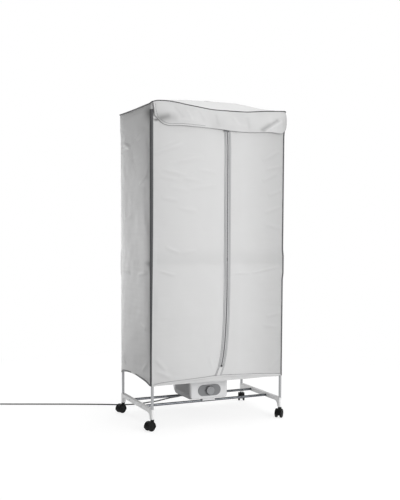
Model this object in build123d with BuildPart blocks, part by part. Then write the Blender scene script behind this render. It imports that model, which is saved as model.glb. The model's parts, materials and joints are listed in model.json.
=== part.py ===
from build123d import *
import os
from math import atan2, ceil, cos, pi, radians, sin, sqrt, tan

# Portable electric clothes dryer: a tube frame on four casters, a fabric cover with a zipped front and a
# flap over the zip, and a fan heater under the cover that blows warm air up into the cabinet.
# Millimetres. X runs to the right, -Y is the front, Z is up. The origin is on the floor, midway between
# the four posts.

os.makedirs("parts", exist_ok=True)

# Fits
slip = 0.05  # radial clearance of a push fit or a running fit
play = 0.3  # room round a screw head or a shaft, and end play of an axle
gap = 0.3  # clearance between soft goods and what they cover
far = 2000.0  # further out than any part of the dryer, for cuts

# Posts, each of two tubes that meet inside the middle bracket
post_x = 328.0  # half the spacing of the posts, side to side
post_y = 198.0  # half the spacing of the posts, front to back
post_d = 13.0
post_wall = 1.0

# Side brackets, one on each side at three levels
sleeve_d = 18.0
beam_h = 18.0
arch_r = 25.0
rib_t = 2.0  # stop between the two tubes in a middle bracket
cap_t = 3.0  # closed end of a top bracket
bottom_z = 50.0  # underside of the bottom brackets, where the casters plug in
tiers = {  # top of the beam, and length of the sleeves
    "bottom": (95.0, 45.0),
    "middle": (762.0, 60.0),
    "top": (1440.0, 60.0),
}

# Crossbars between the side brackets
bar_y = 78.0
bar_d = 12.0
bar_wall = 0.9
bar_plug = 16.0  # length of the solid end that takes the screw
socket_depth = 12.0

# Screws that hold the crossbars
screw_d = 4.0
screw_grip = 9.0  # length in the bar's end
head_d = 8.0
head_h = 2.6
head_sink = 0.4  # how far the head lies under the bracket's face
recess_w = 2.6
recess_depth = 1.2

# Casters: a twin-wheel furniture caster under each post
wheel_r = 20.0
wheel_w = 9.0
wheel_in = 7.5  # from the caster's middle plane to a wheel's inner face
wheel_edge = 1.6
rim_r = 15.0  # a recess in the wheel's outer face lies between its hub and its rim
wheel_hub_r = 8.0
axle_r = 2.5
axle_end = 14.0
trail = 14.0
web_half = 7.0
web_r = 9.0
hood_r = 23.5
hood_wall = 2.4
hood_half = 16.5
hood_edge = 3.0
hood_low = 14.0
neck_r = 8.5
collar_r = 7.5
collar_h = 1.4
stem_r = 4.0
stem_low = 30.0
stem_up = 24.0  # length of the stem inside the post
casters = {  # which corner, and the way from the swivel to the wheels, in degrees from +X
    "front_left": (-1, -1, 200.0),
    "front_right": (1, -1, 224.0),
    "rear_left": (-1, 1, 201.0),
    "rear_right": (1, 1, 65.5),
}

# Cover
cloth_t = 1.2
cover_x = sleeve_d / 2 + post_x + gap  # inner face of a side panel
cover_y = sleeve_d / 2 + post_y + gap  # inner face of the front panels
welt_r = 2.5  # piping along the upright corners
welt_low = 197.0
welt_top = 1441.5
panel_drop = 3.0  # from the top panel's edge line down to the side and back panels
band_w = 6.0  # bindings along the hems
band_t = 0.6
corner_cut = 14.0  # radius of the bottom panel's opening at each post
neck_room = 1.5  # from the heater's neck to the bottom panel's edge
hem_front = (
    (-335.0, 197.0), (-290.0, 206.0), (-150.0, 214.0), (15.0, 221.0),
    (165.0, 216.0), (295.0, 208.0), (335.0, 202.0),
)
hem_side = ((-205.0, 198.0), (-150.0, 213.5), (0.0, 224.0), (150.0, 214.0), (205.0, 198.0))
top_front = (
    (-338.0, 1446.0), (-270.0, 1454.0), (-150.0, 1442.0), (-20.0, 1430.0),
    (110.0, 1431.0), (230.0, 1442.0), (338.0, 1449.0),
)
top_ridge = (1452.0, 1474.0, 1494.0, 1502.0, 1500.0, 1482.0, 1453.0)
top_rear = (1447.0, 1449.0, 1444.0, 1440.0, 1440.0, 1443.0, 1447.0)
belly_z = 200.5  # underside of the bottom panel at its lowest
belly_rise = 21.5  # how much higher it is along the sides
drop_low = 1425.2  # lower edge of the top panel's front drop, just over the flap's hinge line
crease_z = 737.0  # packing crease across the front and the back
crease_in = 4.5
crease_above = 28.0  # from the crease up to the flat cloth, and down to it
crease_below = 16.0
crease_side = 325.0  # distance of its outer ends from the middle
crease_fade = 25.0  # length over which each end runs out

# Zip: straight down to the bend, then curving to the left
zip_x = 35.0
zip_top = 1390.0
zip_bend = 650.0
zip_low = ((33.0, 527.0), (24.2, 366.0), (9.4, 276.0), (-13.0, 215.0))
zip_stop = 276.0  # lower end of the teeth
zip_slit = 3.0  # from the zip's line to a front panel's edge
tape_w = 12.5
tape_in = 2.5
teeth_w = 4.6
teeth_t = 1.6
slider_top = 1352.0  # the flap hides the slider, but not its pull
slider_h = 14.0
slider_w = 10.0
slider_t = 2.5
slider_edge = 3.0
slider_jaw = 0.3
pull_len = 28.0
pull_w = 6.5
pull_t = 1.2
pull_edge = 2.3
pull_tilt = 6.0  # degrees by which the pull, lying sideways, falls to the right
bail_out = 2.4  # how far the bail that holds the pull stands out
pull_hole = 3.4

# Flap over the top of the zip
flap_hinge_z = 1424.0
flap_out = 211.0  # distance of the flap's hinge line in front of the middle
flap_lean = 4.5  # degrees
flap_left = -335.0
flap_fold = 285.0  # where the fold at the right end starts
flap_right = 342.0
flap_fold_out = 9.0
flap_len = 96.0
flap_seam = 0.8
flap_hem = (
    (-329.0, 1387.0), (-313.0, 1369.0), (-298.0, 1357.0), (-274.0, 1350.0), (-180.0, 1351.0),
    (-33.0, 1346.0), (93.0, 1339.0), (187.0, 1342.0), (250.0, 1346.0), (306.0, 1343.0), (326.0, 1358.0),
    (340.0, 1391.0),
)
flap_margin = 3.0  # how far the hem's line runs out past the flap's ends, above them

# Heater
heater_half = 95.0
heater_front = 98.0  # front face, in front of the middle
heater_back = 117.0
heater_low = 98.0
heater_top = 200.0
heater_wall = 2.2
front_depth = 12.0
back_depth = 22.0
belly_r = 42.0
brow_r = 12.0
heater_edge = 5.0
heater_corner_r = 14.0
lap = 0.1  # gap at the housing's two part lines
saddle_half = 32.0
saddle_low = 88.0
saddle_reach = 12.0
slot_w = 3.0
slot_pitch = 9.0
slot_count = 17
slot_low = 118.0
slot_top = 186.0
panel_w = 118.0
panel_h = 53.0
panel_z = 138.0
panel_t = 2.0
knob_r = 19.5
knob_depth = 14.0
knob_gap = 0.6
knob_edge = 1.6
knob_hollow_r = 16.5
knob_hollow = 9.0
knob_boss_r = 6.0
pointer_w = 2.4
pointer_h = 0.8
pointer_len = 10.0
shaft_r = 3.0
timer_w = 40.0
timer_h = 38.0
timer_depth = 30.0

# Fan and heating element, on one upright axis
fan_y = 14.0
neck_out = 75.0
neck_in = 71.0
neck_top = 222.0
boss_r = 14.0
motor_low = 107.0
motor_r = 25.0
motor_h = 30.0
motor_edge = 2.2
motor_shaft_r = 2.5
hub_r = 16.0
blade_r = 64.0
blade_count = 7
blade_w = 26.0
blade_t = 1.8
blade_pitch = 35.0
fan_low = 141.0
fan_h = 20.0
element_low = 170.0
element_h = 18.0
element_half = 58.0
element_plate = 2.0
fin_count = 12
fin_t = 1.2
grille_t = 3.0
grille_low = 214.0
grille_bar = 2.4
grille_rings = 6
grille_spokes = 8

# Mains lead
cord_d = 6.4
gland_x = -8.0
gland_z = 152.0
gland_len = 32.0
gland_base_r = 7.5
gland_tip_r = 4.6
flange_r = 11.0
flange_t = 3.0
cord_z = cord_d / 2  # height of the lead's middle on the floor
route = (  # from the gland's tip down to the floor and away to the left
    (gland_x, heater_back + gland_len, gland_z),
    (gland_x, 178.0, gland_z),
    (2.0, 205.0, 137.0),
    (18.0, 220.0, 107.0),
    (25.0, 233.0, 72.0),
    (7.0, 252.0, 42.0),
    (-31.0, 282.0, 33.0),
    (-67.0, 308.0, 21.0),
    (-102.0, 329.0, 9.0),
    (-137.0, 339.0, 6.0),
    (-177.0, 336.0, cord_z),
    (-237.0, 333.0, cord_z),
    (-295.0, 352.0, cord_z),
    (-372.0, 395.0, cord_z),
    (-455.0, 435.0, cord_z),
    (-538.0, 474.0, cord_z),
    (-622.0, 510.5, cord_z),
    (-704.0, 547.5, cord_z),
    (-780.0, 580.0, cord_z),
    (-846.0, 611.0, cord_z),
    (-900.0, 634.0, cord_z),
)

# Coil of the spare length, its turns in two layers, and the plug beside it
coil_r = 41.0  # outer radius of the turns, at the lead's middle
coil_step = 6.9  # from one turn to the next, and from one layer to the next
coil_turns = 3
coil_samples = 400
tail_len = 12.0
plug_relief = 30.0
plug_relief_r = 4.4
plug_base_r = 7.0
plug_body = 38.0
plug_w = 34.0
plug_t = 20.0
plug_edge = 4.0
pin_d = 4.8
pin_len = 19.0
pin_spacing = 19.0

# Worked out from the sizes above
zip_way_out = (zip_low[-1][0] - zip_low[-2][0], zip_low[-1][1] - zip_low[-2][1])
beam_w = sleeve_d
face_in = post_x - beam_w / 2
face_out = post_x + beam_w / 2
post_bore = post_d / 2 - post_wall
middle_top, middle_len = tiers["middle"]
joint_z = middle_top - middle_len / 2
top_top = tiers["top"][0]
bottom_bar_z = tiers["bottom"][0] - beam_h / 2
post_spans = {"lower": (bottom_z, joint_z - rib_t / 2), "upper": (joint_z + rib_t / 2, top_top - cap_t)}
sides = {"left": -1, "right": 1}
ends = {"front": -1, "rear": 1}
welt_x = cover_x + cloth_t / 2
welt_y = cover_y + cloth_t / 2
panel_half_x = welt_x - welt_r - slip
panel_half_y = welt_y - welt_r - slip
belt_y = cover_y + cloth_t + gap  # inner face of the top panel's front drop
seam_y = belt_y + cloth_t


def save(piece, name):
    piece.part.label = name
    export_step(piece.part, f"parts/{name}.step")


def moved(points, dx=0.0, dz=0.0):
    return [(x + dx, z + dz) for x, z in points]


# Posts
for level, (low, high) in post_spans.items():
    for end, sy in ends.items():
        for side, sx in sides.items():
            with BuildPart() as post:
                with BuildSketch(Plane.XY.offset(low)):
                    with Locations((sx * post_x, sy * post_y)):
                        Circle(post_d / 2)
                        Circle(post_bore, mode=Mode.SUBTRACT)
                extrude(amount=high - low)
            save(post, f"{level}_post_{end}_{side}")

# Side brackets: a sleeve for each post and an arched beam between them
for tier, (top, length) in tiers.items():
    for side, sx in sides.items():
        bar_z = top - beam_h / 2
        with BuildPart() as bracket:
            with BuildSketch(Plane.YZ.offset(sx * post_x - beam_w / 2)):
                with Locations((0, top - length / 2)):
                    Rectangle(2 * post_y, length)
                with Locations((0, top - length)):
                    room = 2 * post_y - sleeve_d
                    RectangleRounded(room, 2 * (length - beam_h), arch_r, mode=Mode.SUBTRACT)
            extrude(amount=beam_w)
            with BuildSketch(Plane.XY.offset(top - length)):
                with Locations((sx * post_x, -post_y), (sx * post_x, post_y)):
                    Circle(sleeve_d / 2)
            extrude(amount=length)
            # the posts' bores: through, up to the rib from both ends, or up to the closed end
            spans = {
                "bottom": ((top - length, length),),
                "middle": (
                    (top - length, (length - rib_t) / 2),
                    (joint_z + rib_t / 2, (length - rib_t) / 2),
                ),
                "top": ((top - length, length - cap_t),),
            }[tier]
            for start, depth in spans:
                with BuildSketch(Plane.XY.offset(start)):
                    with Locations((sx * post_x, -post_y), (sx * post_x, post_y)):
                        Circle(post_d / 2 + slip)
                extrude(amount=depth, mode=Mode.SUBTRACT)
            # the bars' sockets, the screws' holes and the heads' seats
            for start, radius, depth in (
                (face_in, bar_d / 2 + slip, socket_depth),
                (face_in, screw_d / 2 + slip, beam_w),
                (face_out - head_h - head_sink, head_d / 2 + play, head_h + head_sink),
            ):
                with BuildSketch(Plane.YZ.offset(sx * start)):
                    with Locations((-bar_y, bar_z), (bar_y, bar_z)):
                        Circle(radius)
                extrude(amount=sx * depth, mode=Mode.SUBTRACT)
        save(bracket, f"side_bracket_{tier}_{side}")

# Crossbars: tubes whose plugged ends are threaded for the screws
bar_half = face_in + socket_depth
for tier, (top, length) in tiers.items():
    for end, sy in ends.items():
        with BuildPart() as bar:
            for half, radius, mode in (
                (bar_half, bar_d / 2, Mode.ADD),
                (bar_half - bar_plug, bar_d / 2 - bar_wall, Mode.SUBTRACT),
                (bar_half, screw_d / 2 + slip, Mode.SUBTRACT),
            ):
                with BuildSketch(Plane.YZ.offset(-half)):
                    with Locations((sy * bar_y, top - beam_h / 2)):
                        Circle(radius)
                extrude(amount=2 * half, mode=mode)
        save(bar, f"crossbar_{tier}_{end}")

# Screws, all alike
head_seat = face_out - head_h - head_sink
with BuildPart() as screws:
    for tier, (top, length) in tiers.items():
        for side, sx in sides.items():
            spots = [(-bar_y, top - beam_h / 2), (bar_y, top - beam_h / 2)]
            for start, radius, depth, mode in (
                (bar_half - screw_grip, screw_d / 2, head_seat - bar_half + screw_grip, Mode.ADD),
                (head_seat, head_d / 2, head_h, Mode.ADD),
            ):
                with BuildSketch(Plane.YZ.offset(sx * start)):
                    with Locations(*spots):
                        Circle(radius)
                extrude(amount=sx * depth, mode=mode)
            with BuildSketch(Plane.YZ.offset(sx * (head_seat + head_h - recess_depth))):
                with Locations(*spots):
                    RegularPolygon(recess_w, 6)
            extrude(amount=sx * recess_depth, mode=Mode.SUBTRACT)
save(screws, "frame_screws")

# Caster stems: the lower end is the swivel's pin, the collar sits under the bracket, the top is in the post
with BuildPart() as stems:
    for sx, sy, heading in casters.values():
        for start, radius, height in (
            (stem_low, stem_r, bottom_z - stem_low),
            (bottom_z - collar_h, collar_r, collar_h),
            (bottom_z, post_bore - slip, stem_up),
        ):
            with BuildSketch(Plane.XY.offset(start)):
                with Locations((sx * post_x, sy * post_y)):
                    Circle(radius)
            extrude(amount=height)
save(stems, "caster_stems")

# Caster hoods, with the web and the axle between the wheels, and the wheels
for corner, (sx, sy, heading) in casters.items():
    ahead = (cos(radians(heading)), sin(radians(heading)), 0)
    across = Vector(ahead[1], -ahead[0], 0)
    swivel = Vector(sx * post_x, sy * post_y, 0)
    middle = Plane(origin=swivel, x_dir=ahead, z_dir=across)  # upright, midway between the wheels
    with BuildPart() as hood:
        with BuildSketch(middle):
            with Locations((trail, wheel_r)):
                Circle(hood_r)
        extrude(amount=hood_half, both=True)
        fillet(hood.edges().filter_by(GeomType.CIRCLE), hood_edge)
        with BuildSketch(Plane.XY.offset(wheel_r)):
            with Locations((swivel.X, swivel.Y)):
                Circle(neck_r)
        extrude(amount=bottom_z - collar_h - play - wheel_r)
        with BuildSketch(middle):
            with Locations((trail, hood_low - hood_r)):
                Rectangle(4 * hood_r, 2 * hood_r)
        extrude(amount=2 * hood_half, both=True, mode=Mode.SUBTRACT)
        with BuildSketch(middle):
            with Locations((trail, wheel_r)):
                Circle(web_r)
        extrude(amount=web_half, both=True)
        for turn in (-1, 1):
            with BuildSketch(middle.offset(turn * web_half)):
                with Locations((trail, wheel_r)):
                    Circle(hood_r - hood_wall)
            extrude(amount=turn * hood_half, mode=Mode.SUBTRACT)
        with BuildSketch(middle):
            with Locations((trail, wheel_r)):
                Circle(axle_r)
        extrude(amount=axle_end, both=True)
        with BuildSketch(Plane.XY.offset(stem_low - play)):
            with Locations((swivel.X, swivel.Y)):
                Circle(stem_r + slip)
        extrude(amount=bottom_z, mode=Mode.SUBTRACT)
    save(hood, f"caster_hood_{corner}")
    for hand, turn in (("a", -1), ("b", 1)):
        with BuildPart() as wheel:
            with BuildSketch(middle.offset(turn * wheel_in)):
                with Locations((trail, wheel_r)):
                    Circle(wheel_r)
            extrude(amount=turn * wheel_w)
            fillet(wheel.edges().filter_by(GeomType.CIRCLE), wheel_edge)
            with BuildSketch(middle.offset(turn * wheel_in)):
                with Locations((trail, wheel_r)):
                    Circle(axle_r + slip)
            extrude(amount=turn * (axle_end - wheel_in + play), mode=Mode.SUBTRACT)
            with BuildSketch(middle.offset(turn * (wheel_in + wheel_w - wheel_edge))):
                with Locations((trail, wheel_r)):
                    Circle(rim_r)
                    Circle(wheel_hub_r, mode=Mode.SUBTRACT)
            extrude(amount=turn * wheel_edge, mode=Mode.SUBTRACT)
        save(wheel, f"caster_wheel_{corner}_{hand}")


def zip_strip(left, right, top, low):
    """The sketch between two copies of the zip's line, moved sideways, and cut off level at both ends."""
    with BuildSketch() as strip:
        with BuildLine():
            ends_up = []
            ends_down = []
            for across in (left, right):
                start = Line((zip_x + across, far), (zip_x + across, zip_bend))
                bow = Spline(start @ 1, *moved(zip_low, across), tangents=(start % 1, zip_way_out))
                end = Line(bow @ 1, (zip_low[-1][0] + across, 0))
                ends_up.append(start @ 0)
                ends_down.append(end @ 1)
            Line(*ends_up)
            Line(*ends_down)
        make_face()
        with Locations((zip_x, (top + low) / 2)):
            Rectangle(4 * far, top - low, mode=Mode.INTERSECT)
    return strip.sketch


def sheet(low, high, half):
    """The sketch between a hem and a top edge, both smooth curves, cut off upright at -half and half."""
    with BuildSketch() as outline:
        with BuildLine():
            hem = Spline(*low)
            head = Spline(*high)
            Line(hem @ 0, head @ 0)
            Line(hem @ 1, head @ 1)
        make_face()
        with Locations((0, (low[0][1] + high[0][1]) / 2)):
            Rectangle(2 * half, 2 * far, mode=Mode.INTERSECT)
    return outline.sketch


def valley(face, way, left, right):
    """The solid between a wall's face and its crease: deepest along crease_z, running out at both ends."""
    with BuildPart() as trough:
        with BuildSketch(Plane.YZ.offset(left)):
            Polygon(
                (face, crease_z - crease_below),
                (face + way * crease_in, crease_z),
                (face, crease_z + crease_above),
                align=None,
            )
        extrude(amount=right - left)
        with BuildSketch(Plane.XY.offset(crease_z - crease_below)):
            Polygon(
                (left, face),
                (left + crease_fade, face + way * crease_in),
                (right - crease_fade, face + way * crease_in),
                (right, face),
                align=None,
            )
        extrude(amount=crease_below + crease_above, mode=Mode.INTERSECT)
    return trough.part


# Front panels, one on each side of the zip
front_head = moved(top_front, dz=-panel_drop)
rear_head = [(x, z - panel_drop) for (x, front), z in zip(top_front, top_rear)]
side_head = [(-welt_y, top_rear[0] - panel_drop), (welt_y, top_rear[0] - panel_drop)]
tape_out = tape_in + tape_w
for side, cut, crease_ends in (
    ("left", (-zip_slit, far), (-crease_side, zip_x - tape_out)),
    ("right", (-far, zip_slit), (zip_x + tape_out, crease_side)),
):
    with BuildPart() as panel:
        with BuildSketch(Plane.XZ.offset(cover_y)):
            add(sheet(hem_front, front_head, panel_half_x))
            add(zip_strip(*cut, far, 0), mode=Mode.SUBTRACT)
        extrude(amount=cloth_t)
        add(valley(-cover_y, 1, *crease_ends))
        add(valley(-cover_y - cloth_t, 1, *crease_ends), mode=Mode.SUBTRACT)
    save(panel, f"cover_front_{side}")

# Back panel and side panels
with BuildPart() as back:
    with BuildSketch(Plane.XZ.offset(-cover_y)):
        add(sheet(hem_front, rear_head, panel_half_x))
    extrude(amount=-cloth_t)
    add(valley(cover_y, -1, -crease_side, crease_side))
    add(valley(cover_y + cloth_t, -1, -crease_side, crease_side), mode=Mode.SUBTRACT)
save(back, "cover_back")
for side, sx in sides.items():
    with BuildPart() as panel:
        with BuildSketch(Plane.YZ.offset(sx * cover_x)):
            add(sheet(hem_side, side_head, panel_half_y))
        extrude(amount=sx * cloth_t)
    save(panel, f"cover_side_{side}")

# Top panel: a tented sheet whose front edge sags between the corners, with a short drop down the front
with BuildPart() as top_panel:
    for (x, front_z), ridge_z, rear_z in zip(top_front, top_ridge, top_rear):
        with BuildSketch(Plane.YZ.offset(x)):
            with BuildLine():
                dome = ((-seam_y, front_z), (0, ridge_z), (seam_y, rear_z))
                upper = ThreePointArc(*dome)
                lower = ThreePointArc(*moved(dome, dz=-cloth_t))
                Line(upper @ 0, lower @ 0)
                Line(upper @ 1, lower @ 1)
            make_face()
    loft()
    with BuildSketch(Plane.XZ.offset(belt_y)):
        drop = ((top_front[0][0], drop_low), (top_front[-1][0], drop_low))
        add(sheet(drop, moved(top_front, dz=-cloth_t / 2), panel_half_x))
    extrude(amount=cloth_t)
save(top_panel, "cover_top")

# Bottom panel: it follows the side hems, hangs lower between them, and is open round the heater's neck
with BuildPart() as bottom_panel:
    for x, rise in ((gap - cover_x, belly_rise), (0, slip), (cover_x - gap, belly_rise)):
        with BuildSketch(Plane.YZ.offset(x)):
            with BuildLine():
                arch = ((gap - cover_y, belly_z), (0, belly_z + rise), (cover_y - gap, belly_z))
                lower = ThreePointArc(*arch)
                upper = ThreePointArc(*moved(arch, dz=cloth_t))
                Line(lower @ 0, upper @ 0)
                Line(lower @ 1, upper @ 1)
            make_face()
    loft()
    for sy in ends.values():
        with BuildSketch(Plane.XZ.offset(-sy * (cover_y - gap - cloth_t))):
            add(sheet(moved(hem_front, dz=-far), moved(hem_front, dz=band_w), post_x - band_w))
            with Locations((0, belly_z - far)):
                Rectangle(far, 2 * far, mode=Mode.SUBTRACT)
        extrude(amount=-sy * cloth_t)
    with BuildSketch(Plane.XY.offset(bottom_z)):
        with Locations((0, fan_y)):
            Circle(neck_out + neck_room)
        with GridLocations(2 * post_x, 2 * post_y, 2, 2):
            Circle(corner_cut)
    extrude(amount=far, mode=Mode.SUBTRACT)
save(bottom_panel, "cover_bottom")

# Piping up the four corners and bindings along the four hems
with BuildPart() as piping:
    with BuildSketch(Plane.XY.offset(welt_low)):
        with GridLocations(2 * welt_x, 2 * welt_y, 2, 2):
            Circle(welt_r)
    extrude(amount=welt_top - welt_low)
    for sy in ends.values():
        with BuildSketch(Plane.XZ.offset(-sy * (cover_y + cloth_t))):
            add(sheet(hem_front, moved(hem_front, dz=band_w), panel_half_x))
            if sy < 0:
                add(zip_strip(-tape_out, tape_out, far, 0), mode=Mode.SUBTRACT)
        extrude(amount=-sy * band_t)
    for sx in sides.values():
        with BuildSketch(Plane.YZ.offset(sx * (cover_x + cloth_t))):
            add(sheet(hem_side, moved(hem_side, dz=band_w), panel_half_y))
        extrude(amount=sx * band_t)
save(piping, "cover_piping")

# Zip: two tapes sewn over the panels' edges, the closed teeth between them, and the slider with its pull
front_face = cover_y + cloth_t
with BuildPart() as chain:
    for left, right, low, depth in (
        (-tape_out, -tape_in, zip_low[-1][1] + 2 * band_w, band_t),
        (tape_in, tape_out, zip_low[-1][1] + 2 * band_w, band_t),
        (-teeth_w / 2, teeth_w / 2, zip_stop, teeth_t),
    ):
        with BuildSketch(Plane.XZ.offset(front_face)):
            add(zip_strip(left, right, zip_top, low))
        extrude(amount=depth)
save(chain, "zip_chain")
slider_back = front_face + teeth_t + slider_jaw
with BuildPart() as slider:
    with BuildSketch(Plane.XZ.offset(slider_back)):
        with Locations((zip_x, slider_top - slider_h / 2)):
            RectangleRounded(slider_w, slider_h, slider_edge)
    extrude(amount=slider_t)
    with BuildSketch(Plane.XZ.offset(front_face + band_t + slider_jaw)):
        with Locations((zip_x, slider_top - slider_h / 2)):
            Rectangle(slider_w, slider_h / 2)
            Rectangle(teeth_w + 2 * slider_jaw, slider_h, mode=Mode.SUBTRACT)
    extrude(until=Until.NEXT)
    with BuildSketch(Plane.XZ.offset(slider_back + slider_t)):
        with Locations((zip_x, slider_top - 3 * slider_h / 4)):
            Rectangle(pull_t, slider_h / 2)
    extrude(amount=bail_out)
    with BuildSketch(Plane.XZ.offset(slider_back + slider_t + (bail_out - pull_t) / 2)):
        with Locations((zip_x, slider_top - slider_h)):
            with Locations(Rotation(0, 0, -pull_tilt)):
                with Locations(((pull_w - pull_len) / 2, 0)):
                    RectangleRounded(pull_len, pull_w, pull_edge)
                with Locations((pull_w - pull_len, 0)):
                    Circle(pull_hole / 2, mode=Mode.SUBTRACT)
    extrude(amount=pull_t)
save(slider, "zip_slider")

# Flap: it hangs from its hinge line at a lean, and its right end folds outwards
lean_up = (0, sin(radians(flap_lean)), cos(radians(flap_lean)))
lean = Plane(origin=(0, -flap_out, flap_hinge_z), x_dir=(1, 0, 0), z_dir=lean_up)
with BuildPart() as flap:
    for down, bulge in ((flap_seam, slip), (flap_len, flap_fold_out)):
        with BuildSketch(lean.offset(-down)):
            with BuildLine():
                fold = ((flap_fold, 0), ((flap_fold + flap_right) / 2, -bulge), (flap_right, -bulge / 3))
                tips = []
                for face in (-cloth_t / 2, cloth_t / 2):
                    flat = Line((flap_left, face), (flap_fold, face))
                    tips.append(flat @ 0)
                    tips.append(ThreePointArc(*moved(fold, dz=face)) @ 1)
                Line(tips[0], tips[2])
                Line(tips[1], tips[3])
            make_face()
    loft(ruled=True)
    with BuildSketch(Plane.XZ.offset(-far)):
        with BuildLine():
            rim = Spline((flap_left - flap_margin, top_top), *flap_hem, (flap_right + flap_margin, top_top))
            Line(rim @ 0, rim @ 1)
        make_face()
    extrude(amount=2 * far, mode=Mode.INTERSECT)
save(flap, "front_flap")

# Heater's front cover, its face closed, with the saddle that sits on the front crossbar
axis_z = (heater_low + heater_top) / 2
front_line = heater_front - front_depth
with BuildPart() as front_cover:
    with BuildSketch(Plane.XZ.offset(front_line)):
        with Locations((0, axis_z)):
            RectangleRounded(2 * heater_half, heater_top - heater_low, heater_corner_r)
    extrude(amount=front_depth)
    fillet(front_cover.faces().sort_by(Axis.Y)[0].edges(), heater_edge)
    with BuildSketch(Plane.XZ.offset(front_line)):
        with Locations((0, axis_z)):
            RectangleRounded(
                2 * (heater_half - heater_wall),
                heater_top - heater_low - 2 * heater_wall,
                heater_corner_r - heater_wall,
            )
    extrude(amount=front_depth - heater_wall, mode=Mode.SUBTRACT)
    with BuildSketch(Plane.XZ.offset(bar_y - saddle_reach)):
        with Locations((0, (heater_low + saddle_low) / 2)):
            Rectangle(2 * saddle_half, heater_low - saddle_low)
    extrude(amount=heater_front - heater_edge - bar_y + saddle_reach)
    with BuildSketch(Plane.XZ.offset(front_line)):
        with Locations((0, heater_low)):
            Rectangle(2 * saddle_half, heater_wall)
    extrude(amount=front_depth - heater_edge)
    with BuildSketch(Plane.YZ.offset(-heater_half)):
        with Locations((-bar_y, bottom_bar_z)):
            Circle(bar_d / 2 + slip)
    extrude(amount=2 * heater_half, mode=Mode.SUBTRACT)
    with BuildSketch(Plane.XZ):
        with Locations((0, panel_z)):
            Circle(shaft_r + play)
    extrude(amount=2 * heater_front, mode=Mode.SUBTRACT)
save(front_cover, "heater_front_cover")

# Heater's housing and rear cover: one hollow form, rounded at the back, cut at a part line
for name, front, rear in (
    ("heater_housing", lap - front_line, heater_back - back_depth),
    ("heater_rear_cover", heater_back - back_depth + lap, heater_back),
):
    with BuildPart() as body:
        for inset, mode in ((0, Mode.ADD), (heater_wall, Mode.SUBTRACT)):
            with BuildSketch(Plane.YZ.offset(inset - heater_half)) as outline:
                with Locations(((heater_back - heater_front) / 2, axis_z)):
                    Rectangle(heater_back + heater_front - 2 * inset, heater_top - heater_low - 2 * inset)
                fillet(outline.vertices().group_by(Axis.X)[-1].sort_by(Axis.Y)[0], belly_r - inset)
                fillet(outline.vertices().group_by(Axis.X)[-1].sort_by(Axis.Y)[-1], brow_r - inset)
            extrude(amount=2 * (heater_half - inset), mode=mode)
        with BuildSketch(Plane.XZ.offset(-rear)):
            with Locations((0, axis_z)):
                Rectangle(4 * heater_half, 4 * heater_half)
        extrude(amount=rear - front, mode=Mode.INTERSECT)
        if name == "heater_housing":
            for start, radius, height in (
                (heater_low + heater_wall / 2, boss_r, motor_low - heater_low - heater_wall / 2),
                (heater_top - heater_wall, neck_out, neck_top - heater_top + heater_wall),
            ):
                with BuildSketch(Plane.XY.offset(start)):
                    with Locations((0, fan_y)):
                        Circle(radius)
                extrude(amount=height)
            with BuildSketch(Plane.XY.offset(neck_top)):
                with Locations((0, fan_y)):
                    Circle(neck_in)
            extrude(amount=heater_top - heater_wall - neck_top, mode=Mode.SUBTRACT)
            with BuildSketch(Plane.YZ.offset(-2 * heater_half)):
                with Locations(((rear + front) / 2, (slot_low + slot_top) / 2)):
                    with GridLocations(slot_pitch, 0, slot_count, 1):
                        SlotOverall(slot_top - slot_low, slot_w, rotation=90)
            extrude(amount=4 * heater_half, mode=Mode.SUBTRACT)
            with BuildSketch(Plane.XZ.offset(-bar_y - saddle_reach)):
                with Locations((0, (heater_low + saddle_low) / 2)):
                    Rectangle(2 * saddle_half, heater_low - saddle_low + heater_wall)
            extrude(amount=2 * saddle_reach)
            with BuildSketch(Plane.YZ.offset(-heater_half)):
                with Locations((bar_y, bottom_bar_z)):
                    Circle(bar_d / 2 + slip)
            extrude(amount=2 * heater_half, mode=Mode.SUBTRACT)
        else:
            with BuildSketch(Plane.XZ.offset(-heater_back - heater_wall)):
                with Locations((gland_x, gland_z)):
                    Circle(gland_base_r + slip)
            extrude(amount=3 * heater_wall, mode=Mode.SUBTRACT)
    save(body, name)

# Control panel and timer
with BuildPart() as dial_plate:
    with BuildSketch(Plane.XZ.offset(heater_front)):
        with Locations((0, panel_z)):
            SlotOverall(panel_w, panel_h)
            Circle(shaft_r + play, mode=Mode.SUBTRACT)
    extrude(amount=panel_t)
save(dial_plate, "control_panel")
timer_face = heater_front - heater_wall
with BuildPart() as timer:
    with BuildSketch(Plane.XZ.offset(timer_face)):
        with Locations((0, panel_z)):
            Rectangle(timer_w, timer_h)
    extrude(amount=-timer_depth)
    with BuildSketch(Plane.XZ.offset(timer_face)):
        with Locations((0, panel_z)):
            Circle(shaft_r)
    extrude(amount=heater_wall + panel_t + knob_gap + knob_depth - knob_edge)
save(timer, "timer_switch")
knob_back = heater_front + panel_t + knob_gap
with BuildPart() as knob:
    with BuildSketch(Plane.XZ.offset(knob_back)):
        with Locations((0, panel_z)):
            Circle(knob_r)
    extrude(amount=knob_depth)
    fillet(knob.edges().filter_by(GeomType.CIRCLE).sort_by(Axis.Y)[0], knob_edge)
    with BuildSketch(Plane.XZ.offset(knob_back)):
        with Locations((0, panel_z)):
            Circle(knob_hollow_r)
            Circle(knob_boss_r, mode=Mode.SUBTRACT)
    extrude(amount=knob_hollow, mode=Mode.SUBTRACT)
    with BuildSketch(Plane.XZ.offset(knob_back)):
        with Locations((0, panel_z)):
            Circle(shaft_r + slip)
    extrude(amount=knob_depth - knob_edge + slip, mode=Mode.SUBTRACT)
    with BuildSketch(Plane.XZ.offset(knob_back + knob_depth)):
        with Locations((0, panel_z + knob_r - knob_edge - pointer_len / 2)):
            Rectangle(pointer_w, pointer_len)
    extrude(amount=pointer_h)
save(knob, "timer_knob")

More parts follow.
